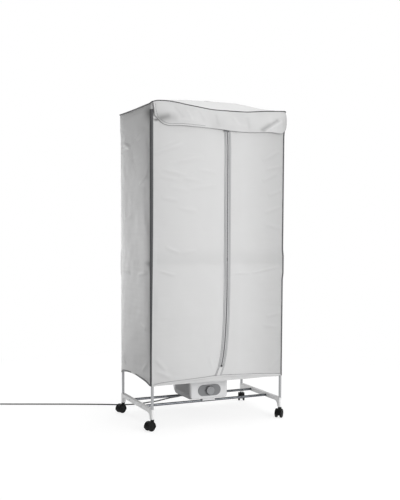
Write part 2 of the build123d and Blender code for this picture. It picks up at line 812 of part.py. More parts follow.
# Fan motor on its boss, impeller on the motor's shaft
with BuildPart() as motor:
    for start, radius, height in (
        (motor_low, motor_r, motor_h),
        (motor_low + motor_h, motor_shaft_r, fan_low + fan_h - motor_low - motor_h),
    ):
        with BuildSketch(Plane.XY.offset(start)):
            with Locations((0, fan_y)):
                Circle(radius)
        extrude(amount=height)
    fillet(motor.edges().filter_by(GeomType.CIRCLE).group_by(SortBy.RADIUS)[-1], motor_edge)
save(motor, "fan_motor")
with BuildPart() as impeller:
    with BuildSketch(Plane.XY.offset(fan_low)):
        with Locations((0, fan_y)):
            Circle(hub_r)
    extrude(amount=fan_h)
    for blade in range(blade_count):
        turn = 2 * pi * blade / blade_count
        out = Vector(cos(turn), sin(turn), 0)
        root = Vector(0, fan_y, fan_low + fan_h / 2) + out * (hub_r - blade_t)
        with BuildSketch(Plane(origin=root, x_dir=(-out.Y, out.X, 0), z_dir=out)):
            Rectangle(blade_w, blade_t, rotation=blade_pitch)
        extrude(amount=blade_r - hub_r + blade_t)
    with BuildSketch(Plane.XY.offset(fan_low)):
        with Locations((0, fan_y)):
            Circle(motor_shaft_r + slip)
    extrude(amount=fan_h, mode=Mode.SUBTRACT)
save(impeller, "fan_impeller")

# Heating element: a plate between the housing's side walls that carries a frame of fins
with BuildPart() as element:
    with BuildSketch(Plane.XY.offset(element_low)):
        with Locations((0, fan_y)):
            Rectangle(2 * (heater_half - heater_wall - slip), 2 * neck_in)
    extrude(amount=element_plate)
    with BuildSketch(Plane.XY.offset(element_low + element_plate)):
        with Locations((0, fan_y)):
            Rectangle(2 * element_half, 2 * element_half)
    extrude(amount=element_h)
    window = element_half - element_plate
    with BuildSketch(Plane.XY.offset(element_low)):
        with Locations((0, fan_y)):
            Rectangle(2 * window, 2 * window)
            with GridLocations(2 * window / (fin_count + 1), 0, fin_count, 1):
                Rectangle(fin_t, 4 * window, mode=Mode.SUBTRACT)
    extrude(amount=element_plate + element_h, mode=Mode.SUBTRACT)
save(element, "heating_element")

# Outlet grille inside the neck
grille_r = neck_in - slip
with BuildPart() as grille:
    with BuildSketch(Plane.XY.offset(grille_low)):
        with Locations((0, fan_y)):
            for ring in range(grille_rings):
                Circle(grille_r * (grille_rings - ring) / grille_rings)
                Circle(grille_r * (grille_rings - ring) / grille_rings - grille_bar, mode=Mode.SUBTRACT)
            for spoke in range(grille_spokes // 2):
                Rectangle(2 * grille_r - grille_bar, grille_bar, rotation=360 * spoke / grille_spokes)
    extrude(amount=grille_t)
save(grille, "outlet_grille")

# Strain relief: a flange behind the rear cover's wall and a tapered boot outside it
with BuildPart() as gland:
    with BuildSketch(Plane.XZ.offset(heater_wall + flange_t - heater_back)):
        with Locations((gland_x, gland_z)):
            Circle(flange_r)
    extrude(amount=-flange_t)
    with BuildSketch(Plane.XZ.offset(heater_wall + flange_t - heater_back)):
        with Locations((gland_x, gland_z)):
            Circle(gland_base_r)
    extrude(amount=-heater_wall - flange_t)
    for out, radius in ((0, gland_base_r), (gland_len, gland_tip_r)):
        with BuildSketch(Plane.XZ.offset(-heater_back - out)):
            with Locations((gland_x, gland_z)):
                Circle(radius)
    loft()
save(gland, "cord_gland")

# Mains lead: straight runs joined by arcs as large as the runs allow
bends = []
for before, here, after in zip(route, route[1:], route[2:]):
    run_in = Vector(*here) - Vector(*before)
    run_out = Vector(*after) - Vector(*here)
    half_turn = radians(run_in.get_angle(run_out) / 2)
    bends.append(0.45 * min(run_in.length, run_out.length) / tan(half_turn))
with BuildPart() as lead:
    with BuildLine() as way:
        FilletPolyline(*route, radius=bends)
    with BuildSketch(Plane(origin=route[0], z_dir=way.wire() % 0)):
        Circle(cord_d / 2)
    sweep(path=way.wire())
save(lead, "power_cord")
cord_section = pi * cord_d**2 / 4
print("bend radii", [round(bend) for bend in bends])
lead_length = way.wire().length
print("lead", round(lead_length), "volume ratio", lead.part.volume / cord_section / lead_length)

# Coil: it spirals in on the floor, climbs a layer in the middle half turn and spirals out again
lead_in = (Vector(*route[-1]) - Vector(*route[-2])).normalized()
growth = coil_step / (2 * pi)
start_angle = atan2(lead_in.Y, lead_in.X) - atan2(coil_r, -growth)
end_angle = -pi / 2 - atan2(coil_r, growth)
coil_turn = 2 * pi * coil_turns + (end_angle - start_angle) % (2 * pi)
stations = 2 * ceil(coil_turn / pi)
coil_start = Vector(*route[-1]) + lead_in * cord_d
coil_middle = coil_start - Vector(cos(start_angle), sin(start_angle), 0) * coil_r


def coil_station(number):
    """The coil line's place and direction at one of its stations, a quarter turn or less apart."""
    turned = coil_turn * number / stations
    angle = start_angle + turned
    side = (number > stations / 2) - (number < stations / 2)
    radius = coil_r - growth * min(turned, coil_turn - turned)
    out = Vector(cos(angle), sin(angle), 0)
    along = Vector(-sin(angle), cos(angle), 0)
    place = coil_middle + out * radius + Vector(0, 0, coil_step * (1 + side) / 2)
    climb = coil_step * stations / coil_turn if side == 0 else 0
    return place, (along * radius + out * growth * side + Vector(0, 0, climb)).normalized()


with BuildPart() as coil:
    with BuildLine() as turns:
        Line(route[-1], coil_start)
        for number in range(stations):
            here, way_here = coil_station(number)
            there, way_there = coil_station(number + 1)
            chord = there - here
            both = way_here + way_there
            bend = 2 * (1 - way_here.dot(way_there))
            reach = (sqrt(chord.dot(both) ** 2 + bend * chord.dot(chord)) - chord.dot(both)) / bend
            meeting = (here + there + (way_here - way_there) * reach) * 0.5
            first = TangentArc(here, meeting, tangent=way_here)
            TangentArc(meeting, there, tangent=first % 1)
        coil_end, way_out = coil_station(stations)
        plug_at = coil_end + way_out * tail_len
        Line(coil_end, plug_at)
    with BuildSketch(Plane(origin=route[-1], z_dir=lead_in)):
        Circle(cord_d / 2)
    sweep(path=turns.wire())
save(coil, "cord_coil")
coil_line = turns.wire()
dots = [coil_line.position_at(step / coil_samples) for step in range(coil_samples + 1)]
spacing = coil_line.length / coil_samples
skip = ceil(pi * cord_d / spacing)
least = min((b - a).length for i, a in enumerate(dots) for b in dots[i + skip :])
print("coil", round(coil_line.length), "least gap to itself", round(least - cord_d, 2))

# Plug: a flat body on the floor with a tapered boot, and its two round pins
plug_y = plug_at.Y - plug_relief
plug_z = plug_at.Z
with BuildPart() as plug:
    for out, radius in ((0, plug_relief_r), (plug_relief, plug_base_r)):
        with BuildSketch(Plane.XZ.offset(out - plug_at.Y)):
            with Locations((plug_at.X, plug_z)):
                Circle(radius)
    loft()
    with BuildSketch(Plane.XZ.offset(-plug_y)):
        with Locations((plug_at.X, plug_z)):
            Rectangle(plug_w, plug_t)
    extrude(amount=plug_body)
    fillet(plug.edges().filter_by(Axis.Y), plug_edge)
save(plug, "plug_body")
with BuildPart() as pins:
    with BuildSketch(Plane.XZ.offset(plug_body - plug_y)):
        with Locations((plug_at.X, plug_z)):
            with GridLocations(pin_spacing, 0, 2, 1):
                Circle(pin_d / 2)
    extrude(amount=pin_len)
save(pins, "plug_pins")
print("plug pins", round(plug_at.X, 3), round(plug_y - plug_body, 3), round(plug_z, 3))
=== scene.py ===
"""Portable electric clothes dryer: a covered frame on casters with a fan heater, dressed on its frame.

Metres. X runs to the right, -Y is the front, Z is up, and the floor is at 0.
"""

import json
import math

import bpy
import numpy as np
from bpy.props import FloatProperty, FloatVectorProperty, PointerProperty
from mathutils import Matrix, Vector, noise

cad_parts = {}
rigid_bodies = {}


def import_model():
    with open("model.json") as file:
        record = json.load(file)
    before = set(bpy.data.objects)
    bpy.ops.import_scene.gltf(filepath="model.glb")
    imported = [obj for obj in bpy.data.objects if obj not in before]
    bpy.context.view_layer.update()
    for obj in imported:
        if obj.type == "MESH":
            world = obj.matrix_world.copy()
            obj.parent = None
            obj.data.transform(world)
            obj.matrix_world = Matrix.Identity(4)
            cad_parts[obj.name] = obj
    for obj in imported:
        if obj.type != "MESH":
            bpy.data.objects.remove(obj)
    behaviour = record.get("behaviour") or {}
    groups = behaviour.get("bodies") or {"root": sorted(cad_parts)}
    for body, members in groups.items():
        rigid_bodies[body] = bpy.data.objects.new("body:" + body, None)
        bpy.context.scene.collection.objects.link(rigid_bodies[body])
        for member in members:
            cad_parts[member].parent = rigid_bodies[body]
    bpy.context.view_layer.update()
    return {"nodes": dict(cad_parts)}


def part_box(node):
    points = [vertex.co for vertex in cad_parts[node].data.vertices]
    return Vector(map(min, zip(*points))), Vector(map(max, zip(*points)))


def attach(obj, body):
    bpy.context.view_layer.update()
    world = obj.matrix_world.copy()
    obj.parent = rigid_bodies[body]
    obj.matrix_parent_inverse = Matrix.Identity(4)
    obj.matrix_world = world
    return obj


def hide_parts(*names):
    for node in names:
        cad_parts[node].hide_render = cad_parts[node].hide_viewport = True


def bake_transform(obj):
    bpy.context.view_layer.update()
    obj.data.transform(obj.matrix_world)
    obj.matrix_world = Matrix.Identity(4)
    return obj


bl_info = {
    "name": "Portable Clothes Dryer",
    "version": (1, 0, 0),
    "blender": (4, 5, 0),
    "location": "3D View > Sidebar > Dryer",
    "description": "A covered drying frame on casters with a fan heater, built round its packed frame",
    "category": "Add Mesh",
}

for leftover in list(bpy.data.objects):
    bpy.data.objects.remove(leftover)
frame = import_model()
NODES = frame["nodes"]

# Faces and corners of the cover, from the frame
FRONT = -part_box("cover_front_left")[0].y
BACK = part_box("cover_back")[1].y
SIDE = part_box("cover_side_right")[1].x
TOP_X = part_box("cover_top")[1].x
SEAM_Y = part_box("cover_top")[1].y
POST = (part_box("upper_post_front_right")[0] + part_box("upper_post_front_right")[1]) / 2
POST_X = POST.x
POST_Y = -POST.y
CORNER_R = SIDE - POST_X  # the cover wraps the posts' sleeves, so its corners are round
BELLY_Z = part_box("cover_bottom")[0].z
KNOB = (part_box("timer_knob")[0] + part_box("timer_knob")[1]) / 2
DIAL_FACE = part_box("control_panel")[0].y
NECK = (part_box("outlet_grille")[0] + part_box("outlet_grille")[1]) / 2

# Outlines of the cover, as height over the distance along it
HEM_FRONT = (
    (-0.335, 0.197), (-0.290, 0.206), (-0.150, 0.214), (0.015, 0.221),
    (0.165, 0.216), (0.295, 0.208), (0.335, 0.202),
)
HEM_SIDE = ((-0.205, 0.198), (-0.150, 0.2135), (0.0, 0.224), (0.150, 0.214), (0.205, 0.198))
TOP_FRONT = (
    (-0.338, 1.4418), (-0.327, 1.4470), (-0.305, 1.4525), (-0.270, 1.4540), (-0.150, 1.4420),
    (-0.020, 1.4300), (0.110, 1.4310), (0.230, 1.4420), (0.338, 1.4490),
)
TOP_RIDGE = (
    (-0.338, 1.4430), (-0.270, 1.4740), (-0.150, 1.4940), (-0.020, 1.5020),
    (0.110, 1.5000), (0.230, 1.4820), (0.338, 1.4530),
)
TOP_REAR = (
    (-0.338, 1.4470), (-0.270, 1.4490), (-0.150, 1.4440), (-0.020, 1.4400),
    (0.110, 1.4400), (0.230, 1.4430), (0.338, 1.4470),
)
SIDE_ROLL = 0.0035  # how far the top panel turns down over each side
ROLL = ((0.0012, 0.3), (0.0017, 1.0))  # distances beyond its edge, and the share of the way down there
ZIP_LINE = (  # height, and how far right of the middle the zip is there
    (0.215, -0.013), (0.276, 0.0094), (0.366, 0.0242), (0.527, 0.033), (0.650, 0.035),
    (1.250, 0.035), (1.305, 0.0335), (1.345, 0.0310), (1.460, 0.0300),
)
FLAP_HEM = (
    (-0.3297, 1.4374), (-0.3286, 1.4247), (-0.3263, 1.4069), (-0.3231, 1.3884), (-0.3110, 1.3776),
    (-0.2956, 1.3615), (-0.2825, 1.3537), (-0.2722, 1.3509), (-0.2524, 1.3479), (-0.1935, 1.3505),
    (-0.033, 1.346), (0.093, 1.339), (0.187, 1.342), (0.250, 1.346), (0.306, 1.343), (0.326, 1.358),
    (0.342, 1.391),
)
FLAP_SEAM = (  # the seam inside the flap's left end, from the top round to the hem
    (-0.3189, 1.4381), (-0.3180, 1.4135), (-0.3133, 1.3984), (-0.3082, 1.3834), (-0.2980, 1.3742),
    (-0.2849, 1.3656), (-0.2722, 1.3595), (-0.2553, 1.3563), (-0.1935, 1.3590), (-0.0830, 1.3560),
)
BELLY_RISE = 0.0215  # how much higher the bottom panel is along the sides
BELLY_IN = (0.0015, 0.0028)  # how far inside the sides' and the ends' faces it lies
TAPE_TOP = 1.414  # upper end of the front corner tapes, behind the flap
TAPE_BARE = ((-1, 0.40), (1, 0.0))  # share of the left and right corner's turn left bare at the hem
UNDER_TOP = 0.002  # how far the walls end below the top's edge
WALL_HEIGHT = 1.24  # about how far a wall reaches up from its hem, for the number of its rows
POST_ROOM = 0.014  # radius of the opening round each post
NECK_ROOM = 0.0765  # radius of the opening round the heater's neck
DROP_LOW = 1.4256  # lower edge of the top panel's front drop
DROP_LEVELS = (0, 0.35, 0.7, 0.93)  # shares of the way up from there
VENTS = ((0.030, 0.0), (0.225, 0.0))  # where warm air leaves through the top
VENT_X = 0.019
VENT_Y = 0.011

# Trims: how far each lies off the cover's faces, and its thickness
CORNER_TAPE = (0.0008, 0.0006)
SIDE_BINDING = (0.0009, 0.0024)
END_BINDING = (0.0008, 0.0022)
STRIP_OFF = 0.0001
STRIP_BEYOND = 0.0006  # how far a corner strip runs past the corner's round part
BINDING_BELOW = 0.0004  # how far a binding reaches below its hem
END_HEM = 0.0060  # width of the binding along the front and back hems
HEM_STITCHES = (0.0012, 0.0068)  # distance of the stitches off the face, and above the hem

# Zip
ZIP_PROUD = 0.0010  # how far the tapes' edges lie off the front's face
TAPE_BULGE = 0.0006  # and how much further their middles
TAPE_THICK = 0.0016
ZIP_SLIT = 0.003
ZIP_TOP = 1.390
ZIP_STOP = 0.276
TAPE_IN = 0.0025
TAPE_OUT = 0.0155
SEWN_AT = 0.0093  # distance of the seams in the tapes from the zip's line
TOOTH_PITCH = 0.003
TOOTH_HALF = (0.0019, 0.0010, 0.0011)
STOP_HALF = (0.0042, 0.0012, 0.0045)

# Flap
FLAP_LEFT = FLAP_HEM[0][0]
FLAP_RIGHT = FLAP_HEM[-1][0]
HINGE_Y = -0.211
HINGE_Z = 1.424
HINGE_SPREAD = 0.006  # half the height of a band round the hinge line, whose lower edge the flap's step works out but does not use
FLAP_FOLDS = (  # height of each fold, its painted highlight (positive) or painted shade (negative), its two ends as x, z, x, z, and its width
    (-0.0034, -0.20, 0.207, 1.355, 0.281, 1.401, 0.0070),
    (0.0, -0.12, 0.205, 1.356, 0.240, 1.378, 0.0150),
    (0.0036, 0.10, 0.226, 1.350, 0.300, 1.396, 0.0070),
    (-0.0022, -0.24, -0.292, 1.378, -0.262, 1.388, 0.0130),
    (0.0, -0.20, -0.305, 1.376, -0.240, 1.384, 0.0200),
    (-0.0012, -0.05, -0.228, 1.424, -0.196, 1.392, 0.0080),
    (0.0014, 0.03, -0.170, 1.418, -0.150, 1.384, 0.0070),
    (-0.0012, -0.04, -0.112, 1.416, -0.092, 1.380, 0.0090),
    (-0.0012, -0.05, -0.030, 1.404, -0.022, 1.370, 0.0080),
    (0.0014, 0.03, 0.060, 1.398, 0.082, 1.372, 0.0070),
    (-0.0012, -0.04, 0.128, 1.398, 0.134, 1.366, 0.0100),
    (0.0016, 0.02, -0.215, 1.372, -0.130, 1.380, 0.0100),
    (0.0014, 0.02, 0.020, 1.372, 0.120, 1.366, 0.0110),
    (0.0016, -0.10, 0.330, 1.366, 0.336, 1.430, 0.0120),
)
FLAP_UNDER = 0.0015  # how far its seam lies below the top's edge
FLAP_HANG = 0.0085  # how far the flap stands out below its seam
FLAP_TUCK = 0.006  # how far its left end is drawn in towards the hem
FLAP_BULGE = 0.006  # how far it stands out before its right end
FLAP_WRAP = 0.016  # how far that end turns round the corner
FLAP_WAVES = ((0.0012, 34, 0.6), (0.0008, 71, 2.0))  # height, waves in 2 pi metres, and phase
FLAP_LEAST = 0.0006  # least distance from the hinge's plane
FLAP_SHADOWS = (  # where the flap's end shades the front: x, z, half width, half height, depth
    (-0.314, 1.3690, 0.0120, 0.0050, 0.75),
    (0.318, 1.3480, 0.0120, 0.0050, 0.25),
)

# Timer's marks
MARK_AT = 0.0235  # distance from the knob's middle
MARK_R = 0.0013
MARK_TURNS = range(-135, 136, 45)  # degrees from the top

# Mains lead: the given route from the strain relief's tip, then the coil and the tail to the plug
LEAD_ROUTE = (
    (-0.008, 0.149, 0.152),
    (-0.008, 0.178, 0.152),
    (0.002, 0.205, 0.137),
    (0.018, 0.220, 0.107),
    (0.025, 0.233, 0.072),
    (0.007, 0.252, 0.042),
    (-0.031, 0.282, 0.033),
    (-0.067, 0.308, 0.021),
    (-0.102, 0.329, 0.009),
    (-0.137, 0.339, 0.006),
    (-0.177, 0.336, 0.0032),
    (-0.237, 0.333, 0.0032),
    (-0.295, 0.352, 0.0032),
    (-0.372, 0.395, 0.0032),
    (-0.455, 0.435, 0.0032),
    (-0.538, 0.474, 0.0032),
    (-0.622, 0.5105, 0.0032),
    (-0.704, 0.5475, 0.0032),
    (-0.780, 0.580, 0.0032),
    (-0.846, 0.611, 0.0032),
    (-0.900, 0.634, 0.0032),
)
COIL_R = 0.041
COIL_STEP = 0.0069
COIL_TURNS = 3
COIL_POINTS = 18  # in each turn
TAIL = 0.012

# Photograph's view
LENS = 56.19
LENS_SHIFT = 0.08
CAMERA_AT = (-1.568, -3.405, 0.868)
CAMERA_TURN = 24.65
CAMERA_DIP = 3.98
CAMERA_ROLL = 0.22

CELL = 0.0036  # size of the cloth's mesh cells
COARSE = 0.005  # the same for the back panel, and a share of their height for the corners
TRIM_CELL = 0.008  # and along the bindings and the piping
BAND_UNIT = math.pi / 10  # a wave texture at scale 1 repeats each pi / 10 metres

# Studio
BRIGHT_WAY = (0.80, -0.60, 0.0)  # the surround is brightest towards the right of the front
SURROUND = (-0.55, 0.95, 0.21, 0.63)  # darkest and brightest direction along that, and their strengths
FLOOR_HALF = 8.0
FLOOR_SHOWS = (0.9, 2.1)  # distances between which the floor fades into the white surround
PAPER = (0.8, 0.30, 0.77)  # its grey for the light that it throws back, and its grey and its glow when seen
LAMPS = (  # name, place, what it points at, width, watts
    ("key", (1.1, -3.8, 1.3), (0, 0, 0.7), 2.2, 95.0),
    ("top", (0.2, 0.2, 3.6), (0, 0, 1.4), 2.4, 54.0),
    ("rear", (-1.2, 4.2, 0.8), (-0.3, 0.1, 0.7), 1.6, 90.0),
)


def linear(code):
    """The linear colour of an sRGB hex value."""
    parts = [int(code[i : i + 2], 16) / 255 for i in (0, 2, 4)]
    return [p / 12.92 if p <= 0.04045 else ((p + 0.055) / 1.055) ** 2.4 for p in parts]


def length_size(name, description, default):
    return FloatProperty(
        name=name, description=description, default=default, min=0, unit="LENGTH", precision=4
    )


def finish_colour(name, description, code):
    return FloatVectorProperty(
        name=name, description=description, default=linear(code), size=3, min=0, max=1, subtype="COLOR"
    )


class DryerSizes(bpy.types.PropertyGroup):
    """Sizes of the soft pieces that a user would change."""

    cloth: length_size("Cloth", "Thickness of the cover's cloth", 0.0012)
    fullness: length_size("Fullness", "How far the front and back stand out between their corners", 0.004)
    side_fullness: length_size("Side fullness", "How far the sides stand out between their corners", 0.006)
    crease: length_size("Crease", "Depth of the packing crease at half height", 0.0045)
    folds: length_size("Folds", "Height of the longest folds in the panels", 0.0026)
    puckers: length_size("Puckers", "Height of the puckers along the seams", 0.0005)
    hug: length_size("Hug", "How far the cover draws in round the posts between the brackets", 0.0025)
    piping: length_size("Piping", "Radius of the piping round the top", 0.0024)
    hem: length_size("Hem", "Width of the binding along the side hems", 0.0065)
    stitch: length_size("Stitching", "Radius of a line of stitches", 0.0011)
    edging: length_size("Edging", "Radius of the edging round the flap", 0.0007)
    lead: length_size("Lead", "Diameter of the mains lead", 0.0064)


class DryerColours(bpy.types.PropertyGroup):
    """Colours of the finishes that a user would change."""

    cloth: finish_colour("Cloth", "The cover's coated polyester", "c7c7c7")
    binding: finish_colour("Binding", "Piping round the top", "444446")
    tape: finish_colour("Corner tape", "Tape up the front corners", "5a5a5c")
    hem: finish_colour("Hem", "Binding along the side hems", "7d7d7f")
    zip_tape: finish_colour("Zip tape", "Woven tape on both sides of the teeth", "bababb")
    post: finish_colour("Posts", "Silver paint on the tubes", "a8a9ab")
    bracket: finish_colour("Brackets", "Moulded joints of the frame", "ececec")
    heater_light: finish_colour("Heater covers", "Front and rear covers of the heater", "d2d2d3")
    heater_dark: finish_colour("Heater housing", "Housing between the covers", "858587")
    dial: finish_colour("Dial plate", "Plate behind the timer's knob", "767779")
    knob: finish_colour("Knob", "Timer's knob", "8b8c8e")


def sizes():
    return bpy.context.scene.dryer_sizes


def colours():
    return bpy.context.scene.dryer_colours


# Materials


def add(tree, kind, inputs=None, **settings):
    """Adds a node with its settings; an input given a socket is linked, and one given a value is set."""
    made = tree.nodes.new(kind)
    for name, value in settings.items():
        setattr(made, name, value)
    for name, value in (inputs or {}).items():
        if isinstance(value, bpy.types.NodeSocket):
            tree.links.new(value, made.inputs[name])
        else:
            made.inputs[name].default_value = value
    return made


def multiply(tree, shader, level):
    """Multiplies the shader's colour by a level."""
    base = shader.inputs["Base Color"]
    tone = add(tree, "ShaderNodeMix", data_type="RGBA", blend_type="MULTIPLY")
    tone.inputs["Factor"].default_value = 1.0
    tone.inputs[6].default_value = base.default_value
    if base.is_linked:
        tree.links.new(base.links[0].from_socket, tone.inputs[6])
    tree.links.new(level, tone.inputs[7])
    tree.links.new(tone.outputs[2], base)


def mottle(tree, shader, scale, spread):
    """Varies the colour a little over blots of 1 / scale metres."""
    place = add(tree, "ShaderNodeTexCoord").outputs["Object"]
    look = {"Vector": place, "Scale": scale, "Detail": 4.0, "Roughness": 0.6}
    blots = add(tree, "ShaderNodeTexNoise", look).outputs["Fac"]
    level = add(tree, "ShaderNodeMapRange", {"Value": blots, "To Min": 1 - spread, "To Max": 1.0})
    multiply(tree, shader, level.outputs["Result"])


def painted_shade_layer(tree, shader):
    """Multiplies the colour by the painted shade and light that the cloth's mesh carries at each point."""
    multiply(tree, shader, add(tree, "ShaderNodeAttribute", attribute_name="shade").outputs["Fac"])


def bump(tree, shader, height, depth, strength):
    """Bumps the surface by a height of 1 at that depth."""
    look = {"Height": height, "Distance": depth, "Strength": strength}
    tree.links.new(add(tree, "ShaderNodeBump", look).outputs["Normal"], shader.inputs["Normal"])


def weave(tree, shader, spacing, depth):
    """Bump of a plain weave along all three axes, so that panels that face any way show it."""
    look = {"Vector": add(tree, "ShaderNodeTexCoord").outputs["Object"], "Scale": BAND_UNIT / spacing}
    threads = [add(tree, "ShaderNodeTexWave", look, bands_direction=axis).outputs["Fac"] for axis in "XYZ"]
    total = add(tree, "ShaderNodeMath", {0: threads[0], 1: threads[1]}).outputs[0]
    total = add(tree, "ShaderNodeMath", {0: total, 1: threads[2]}).outputs[0]
    bump(tree, shader, total, depth, 0.6)


def grain(tree, shader, size, depth):
    """Bump of a fine even grain."""
    look = {"Vector": add(tree, "ShaderNodeTexCoord").outputs["Object"], "Scale": 1 / size, "Detail": 2.0}
    bump(tree, shader, add(tree, "ShaderNodeTexNoise", look).outputs["Fac"], depth, 0.5)


# Each finish: its colour, as one that a user would change or as a hex value, its roughness, its other
# sockets, and the layers laid over it. Ribs and threads are drawn 2 mm apart, so that they show.
FINISHES = {
    # Polyester taffeta, coated inside with silver: pale, smooth, softly glossy; threads 0.25 mm apart;
    # painted shade and light from its mesh
    "coated_polyester": (
        "cloth",
        0.62,
        {"IOR": 1.5, "Sheen Weight": 0.08, "Sheen Roughness": 0.5},
        (mottle, 9.0, 0.03),
        # painted shade and light, from the mesh's shade attribute
        (painted_shade_layer,),
        (weave, 0.002, 0.00012),
    ),
    # Polyester binding tape, ribbed and dyed dark: matt; ribs 0.5 mm apart
    "dyed_grosgrain": ("binding", 0.75, {"IOR": 1.5}, (mottle, 60.0, 0.12), (weave, 0.002, 0.0003)),
    # The same tape in a lighter grey, sewn over the front corners: matt
    "corner_grosgrain": ("tape", 0.75, {"IOR": 1.5}, (mottle, 60.0, 0.12), (weave, 0.002, 0.0003)),
    # The same tape in mid grey, folded over the hems: matt
    "hem_tape": ("hem", 0.75, {"IOR": 1.5}, (mottle, 60.0, 0.12), (weave, 0.002, 0.0003)),
    # Polyester zip tape, knitted: matt, with fine ribs 0.6 mm apart
    "zip_tape_polyester": ("zip_tape", 0.7, {"IOR": 1.5}, (mottle, 80.0, 0.08), (weave, 0.002, 0.0003)),
    # Nylon coil, extruded and dyed: smooth with a soft gloss
    "zip_coil_nylon": ("606062", 0.4, {"IOR": 1.53}, (mottle, 150.0, 0.1)),
    # Polyester sewing thread, spun: matt grey
    "stitching_thread": ("8e8e90", 0.8, {"IOR": 1.5}, (grain, 0.0015, 0.0004)),
    # Die-cast zinc slider in dark enamel: smooth with a sharp gloss
    "painted_zinc": ("4c4c4e", 0.3, {"IOR": 1.5, "Metallic": 0.4}, (mottle, 200.0, 0.15)),
    # Drawn steel tube in silver powder coat: metallic and satin, with the coat's fine orange peel
    "silver_painted_steel": ("post", 0.28, {"Metallic": 0.85}, (mottle, 40.0, 0.06), (grain, 0.003, 0.00006)),
    # Moulded polypropylene joints: white and satin, with the mould's fine grain
    "white_polypropylene": ("bracket", 0.42, {"IOR": 1.49}, (mottle, 25.0, 0.03), (grain, 0.002, 0.00008)),
    # Chrome on drawn steel tube: dark grey with sharp lights along it
    "chromed_steel": ("5e6064", 0.22, {"Metallic": 1.0}, (mottle, 30.0, 0.08)),
    # Turned steel, zinc plated: bright grey and slightly hazy
    "zinc_plated_steel": ("b4b6ba", 0.32, {"Metallic": 1.0}, (mottle, 120.0, 0.12)),
    # Moulded nylon casters: deep black and nearly matt, a little scuffed
    "black_nylon": (
        "060607",
        0.55,
        {"IOR": 1.53, "Specular IOR Level": 0.2},
        (mottle, 90.0, 0.35),
        (grain, 0.0015, 0.00006),
    ),
    # Moulded ABS covers: pale grey and satin, with a spark-eroded grain
    "pale_abs": ("heater_light", 0.4, {"IOR": 1.53}, (mottle, 20.0, 0.03), (grain, 0.0015, 0.00006)),
    # Moulded ABS housing: mid grey and satin, with a spark-eroded grain
    "grey_abs": ("heater_dark", 0.4, {"IOR": 1.53}, (mottle, 20.0, 0.05), (grain, 0.0015, 0.00008)),
    # Moulded ABS plate behind the knob: grey, a little glossier than the housing
    "dial_abs": ("dial", 0.33, {"IOR": 1.53}, (mottle, 30.0, 0.05)),
    # Moulded ABS knob: grey and satin
    "knob_abs": ("knob", 0.36, {"IOR": 1.53}, (mottle, 60.0, 0.05), (grain, 0.0012, 0.00005)),
    # Glass-filled PBT inside the heater: charcoal and matt
    "dark_pbt": ("38393b", 0.6, {"IOR": 1.55}, (mottle, 80.0, 0.15), (grain, 0.001, 0.0001)),
    # Pressed steel motor can: grey metal, hazy
    "motor_steel": ("8f9194", 0.35, {"Metallic": 1.0}, (mottle, 60.0, 0.15)),
    # Rolled aluminium fins: light metal, satin
    "fin_aluminium": ("c4c6c8", 0.38, {"Metallic": 1.0}, (mottle, 70.0, 0.12)),
    # Extruded PVC sheath and moulded plug: black with a soft gloss and a fine drag along the surface
    "black_pvc": ("161617", 0.38, {"IOR": 1.53}, (mottle, 70.0, 0.3), (grain, 0.002, 0.0001)),
    # Turned brass pins, nickel plated: bright, warm grey
    "nickel_plated_brass": ("c8c3b8", 0.22, {"Metallic": 1.0}, (mottle, 200.0, 0.1)),
}


def finish(name):
    """The material of that name, made when it is first asked for."""
    if name not in bpy.data.materials:
        colour, roughness, sockets, *layers = FINISHES[name]
        base = getattr(colours(), colour) if hasattr(colours(), colour) else linear(colour)
        made = bpy.data.materials.new(name)
        made.use_nodes = True
        made.diffuse_color = (*base, 1)
        shader = made.node_tree.nodes["Principled BSDF"]
        for socket, value in {"Base Color": (*base, 1), "Roughness": roughness, **sockets}.items():
            shader.inputs[socket].default_value = value
        for layer, *values in layers:
            layer(made.node_tree, shader, *values)
    return bpy.data.materials[name]


def dress(finishes):
    """Gives the frame's solids their finishes, each by a word in their names."""
    for name, node in NODES.items():
        for word, look in finishes.items():
            if word in name:
                node.material_slots[0].material = finish(look)


# Shapes


def through(points):
    """A smooth curve through given points, as a function of their first coordinate.

    It never swings past a point: its slope is a mean of those on both sides, or none at a turning point.
    """
    at, height = np.array(points, float).T
    run = np.diff(height) / np.diff(at)
    before, after = run[:-1], run[1:]
    both = np.where(before * after > 0, before + after, 1)
    slope = np.concatenate([run[:1], np.maximum(2 * before * after, 0) / both, run[-1:]])

    def curve(x):
        x = np.clip(x, at[0], at[-1])
        cell = np.clip(np.searchsorted(at, x) - 1, 0, len(at) - 2)
        width = at[cell + 1] - at[cell]
        t = (x - at[cell]) / width
        ends = height[cell] * (1 + 2 * t) * (1 - t) ** 2 + height[cell + 1] * t * t * (3 - 2 * t)
        return ends + width * t * (1 - t) * (slope[cell] * (1 - t) - slope[cell + 1] * t)

    return curve


hem_front = through(HEM_FRONT)
hem_side = through(HEM_SIDE)
top_front = through(TOP_FRONT)
top_ridge = through(TOP_RIDGE)
top_rear = through(TOP_REAR)
zip_at = through(ZIP_LINE)
flap_hem = through(FLAP_HEM)


def steps(low, high, size=CELL):
    """Evenly spaced values from low to high, about one size apart."""
    return np.linspace(low, high, max(2, round(abs(high - low) / size) + 1))


def ramp(value, start, end):
    """0 at start and before it, 1 at end and beyond it, and even between them."""
    return np.clip((value - start) / (end - start), 0, 1)


def eased(share):
    """Eases a share from 0 to 1 at both of its ends."""
    return share * share * (3 - 2 * share)


def spot(along, z, along_at, z_at, wide, high):
    """1 in the middle of an oval spot, falling off round it."""
    return np.exp(-(((along - along_at) / wide) ** 2) - ((z - z_at) / high) ** 2)


def points_at(x, y, z):
    """Points from their coordinates, each spread over the shape of all three."""
    return np.stack(np.broadcast_arrays(x, y, z), axis=-1)


def unit(vectors):
    return vectors / np.maximum(np.linalg.norm(vectors, axis=-1, keepdims=True), 1e-12)


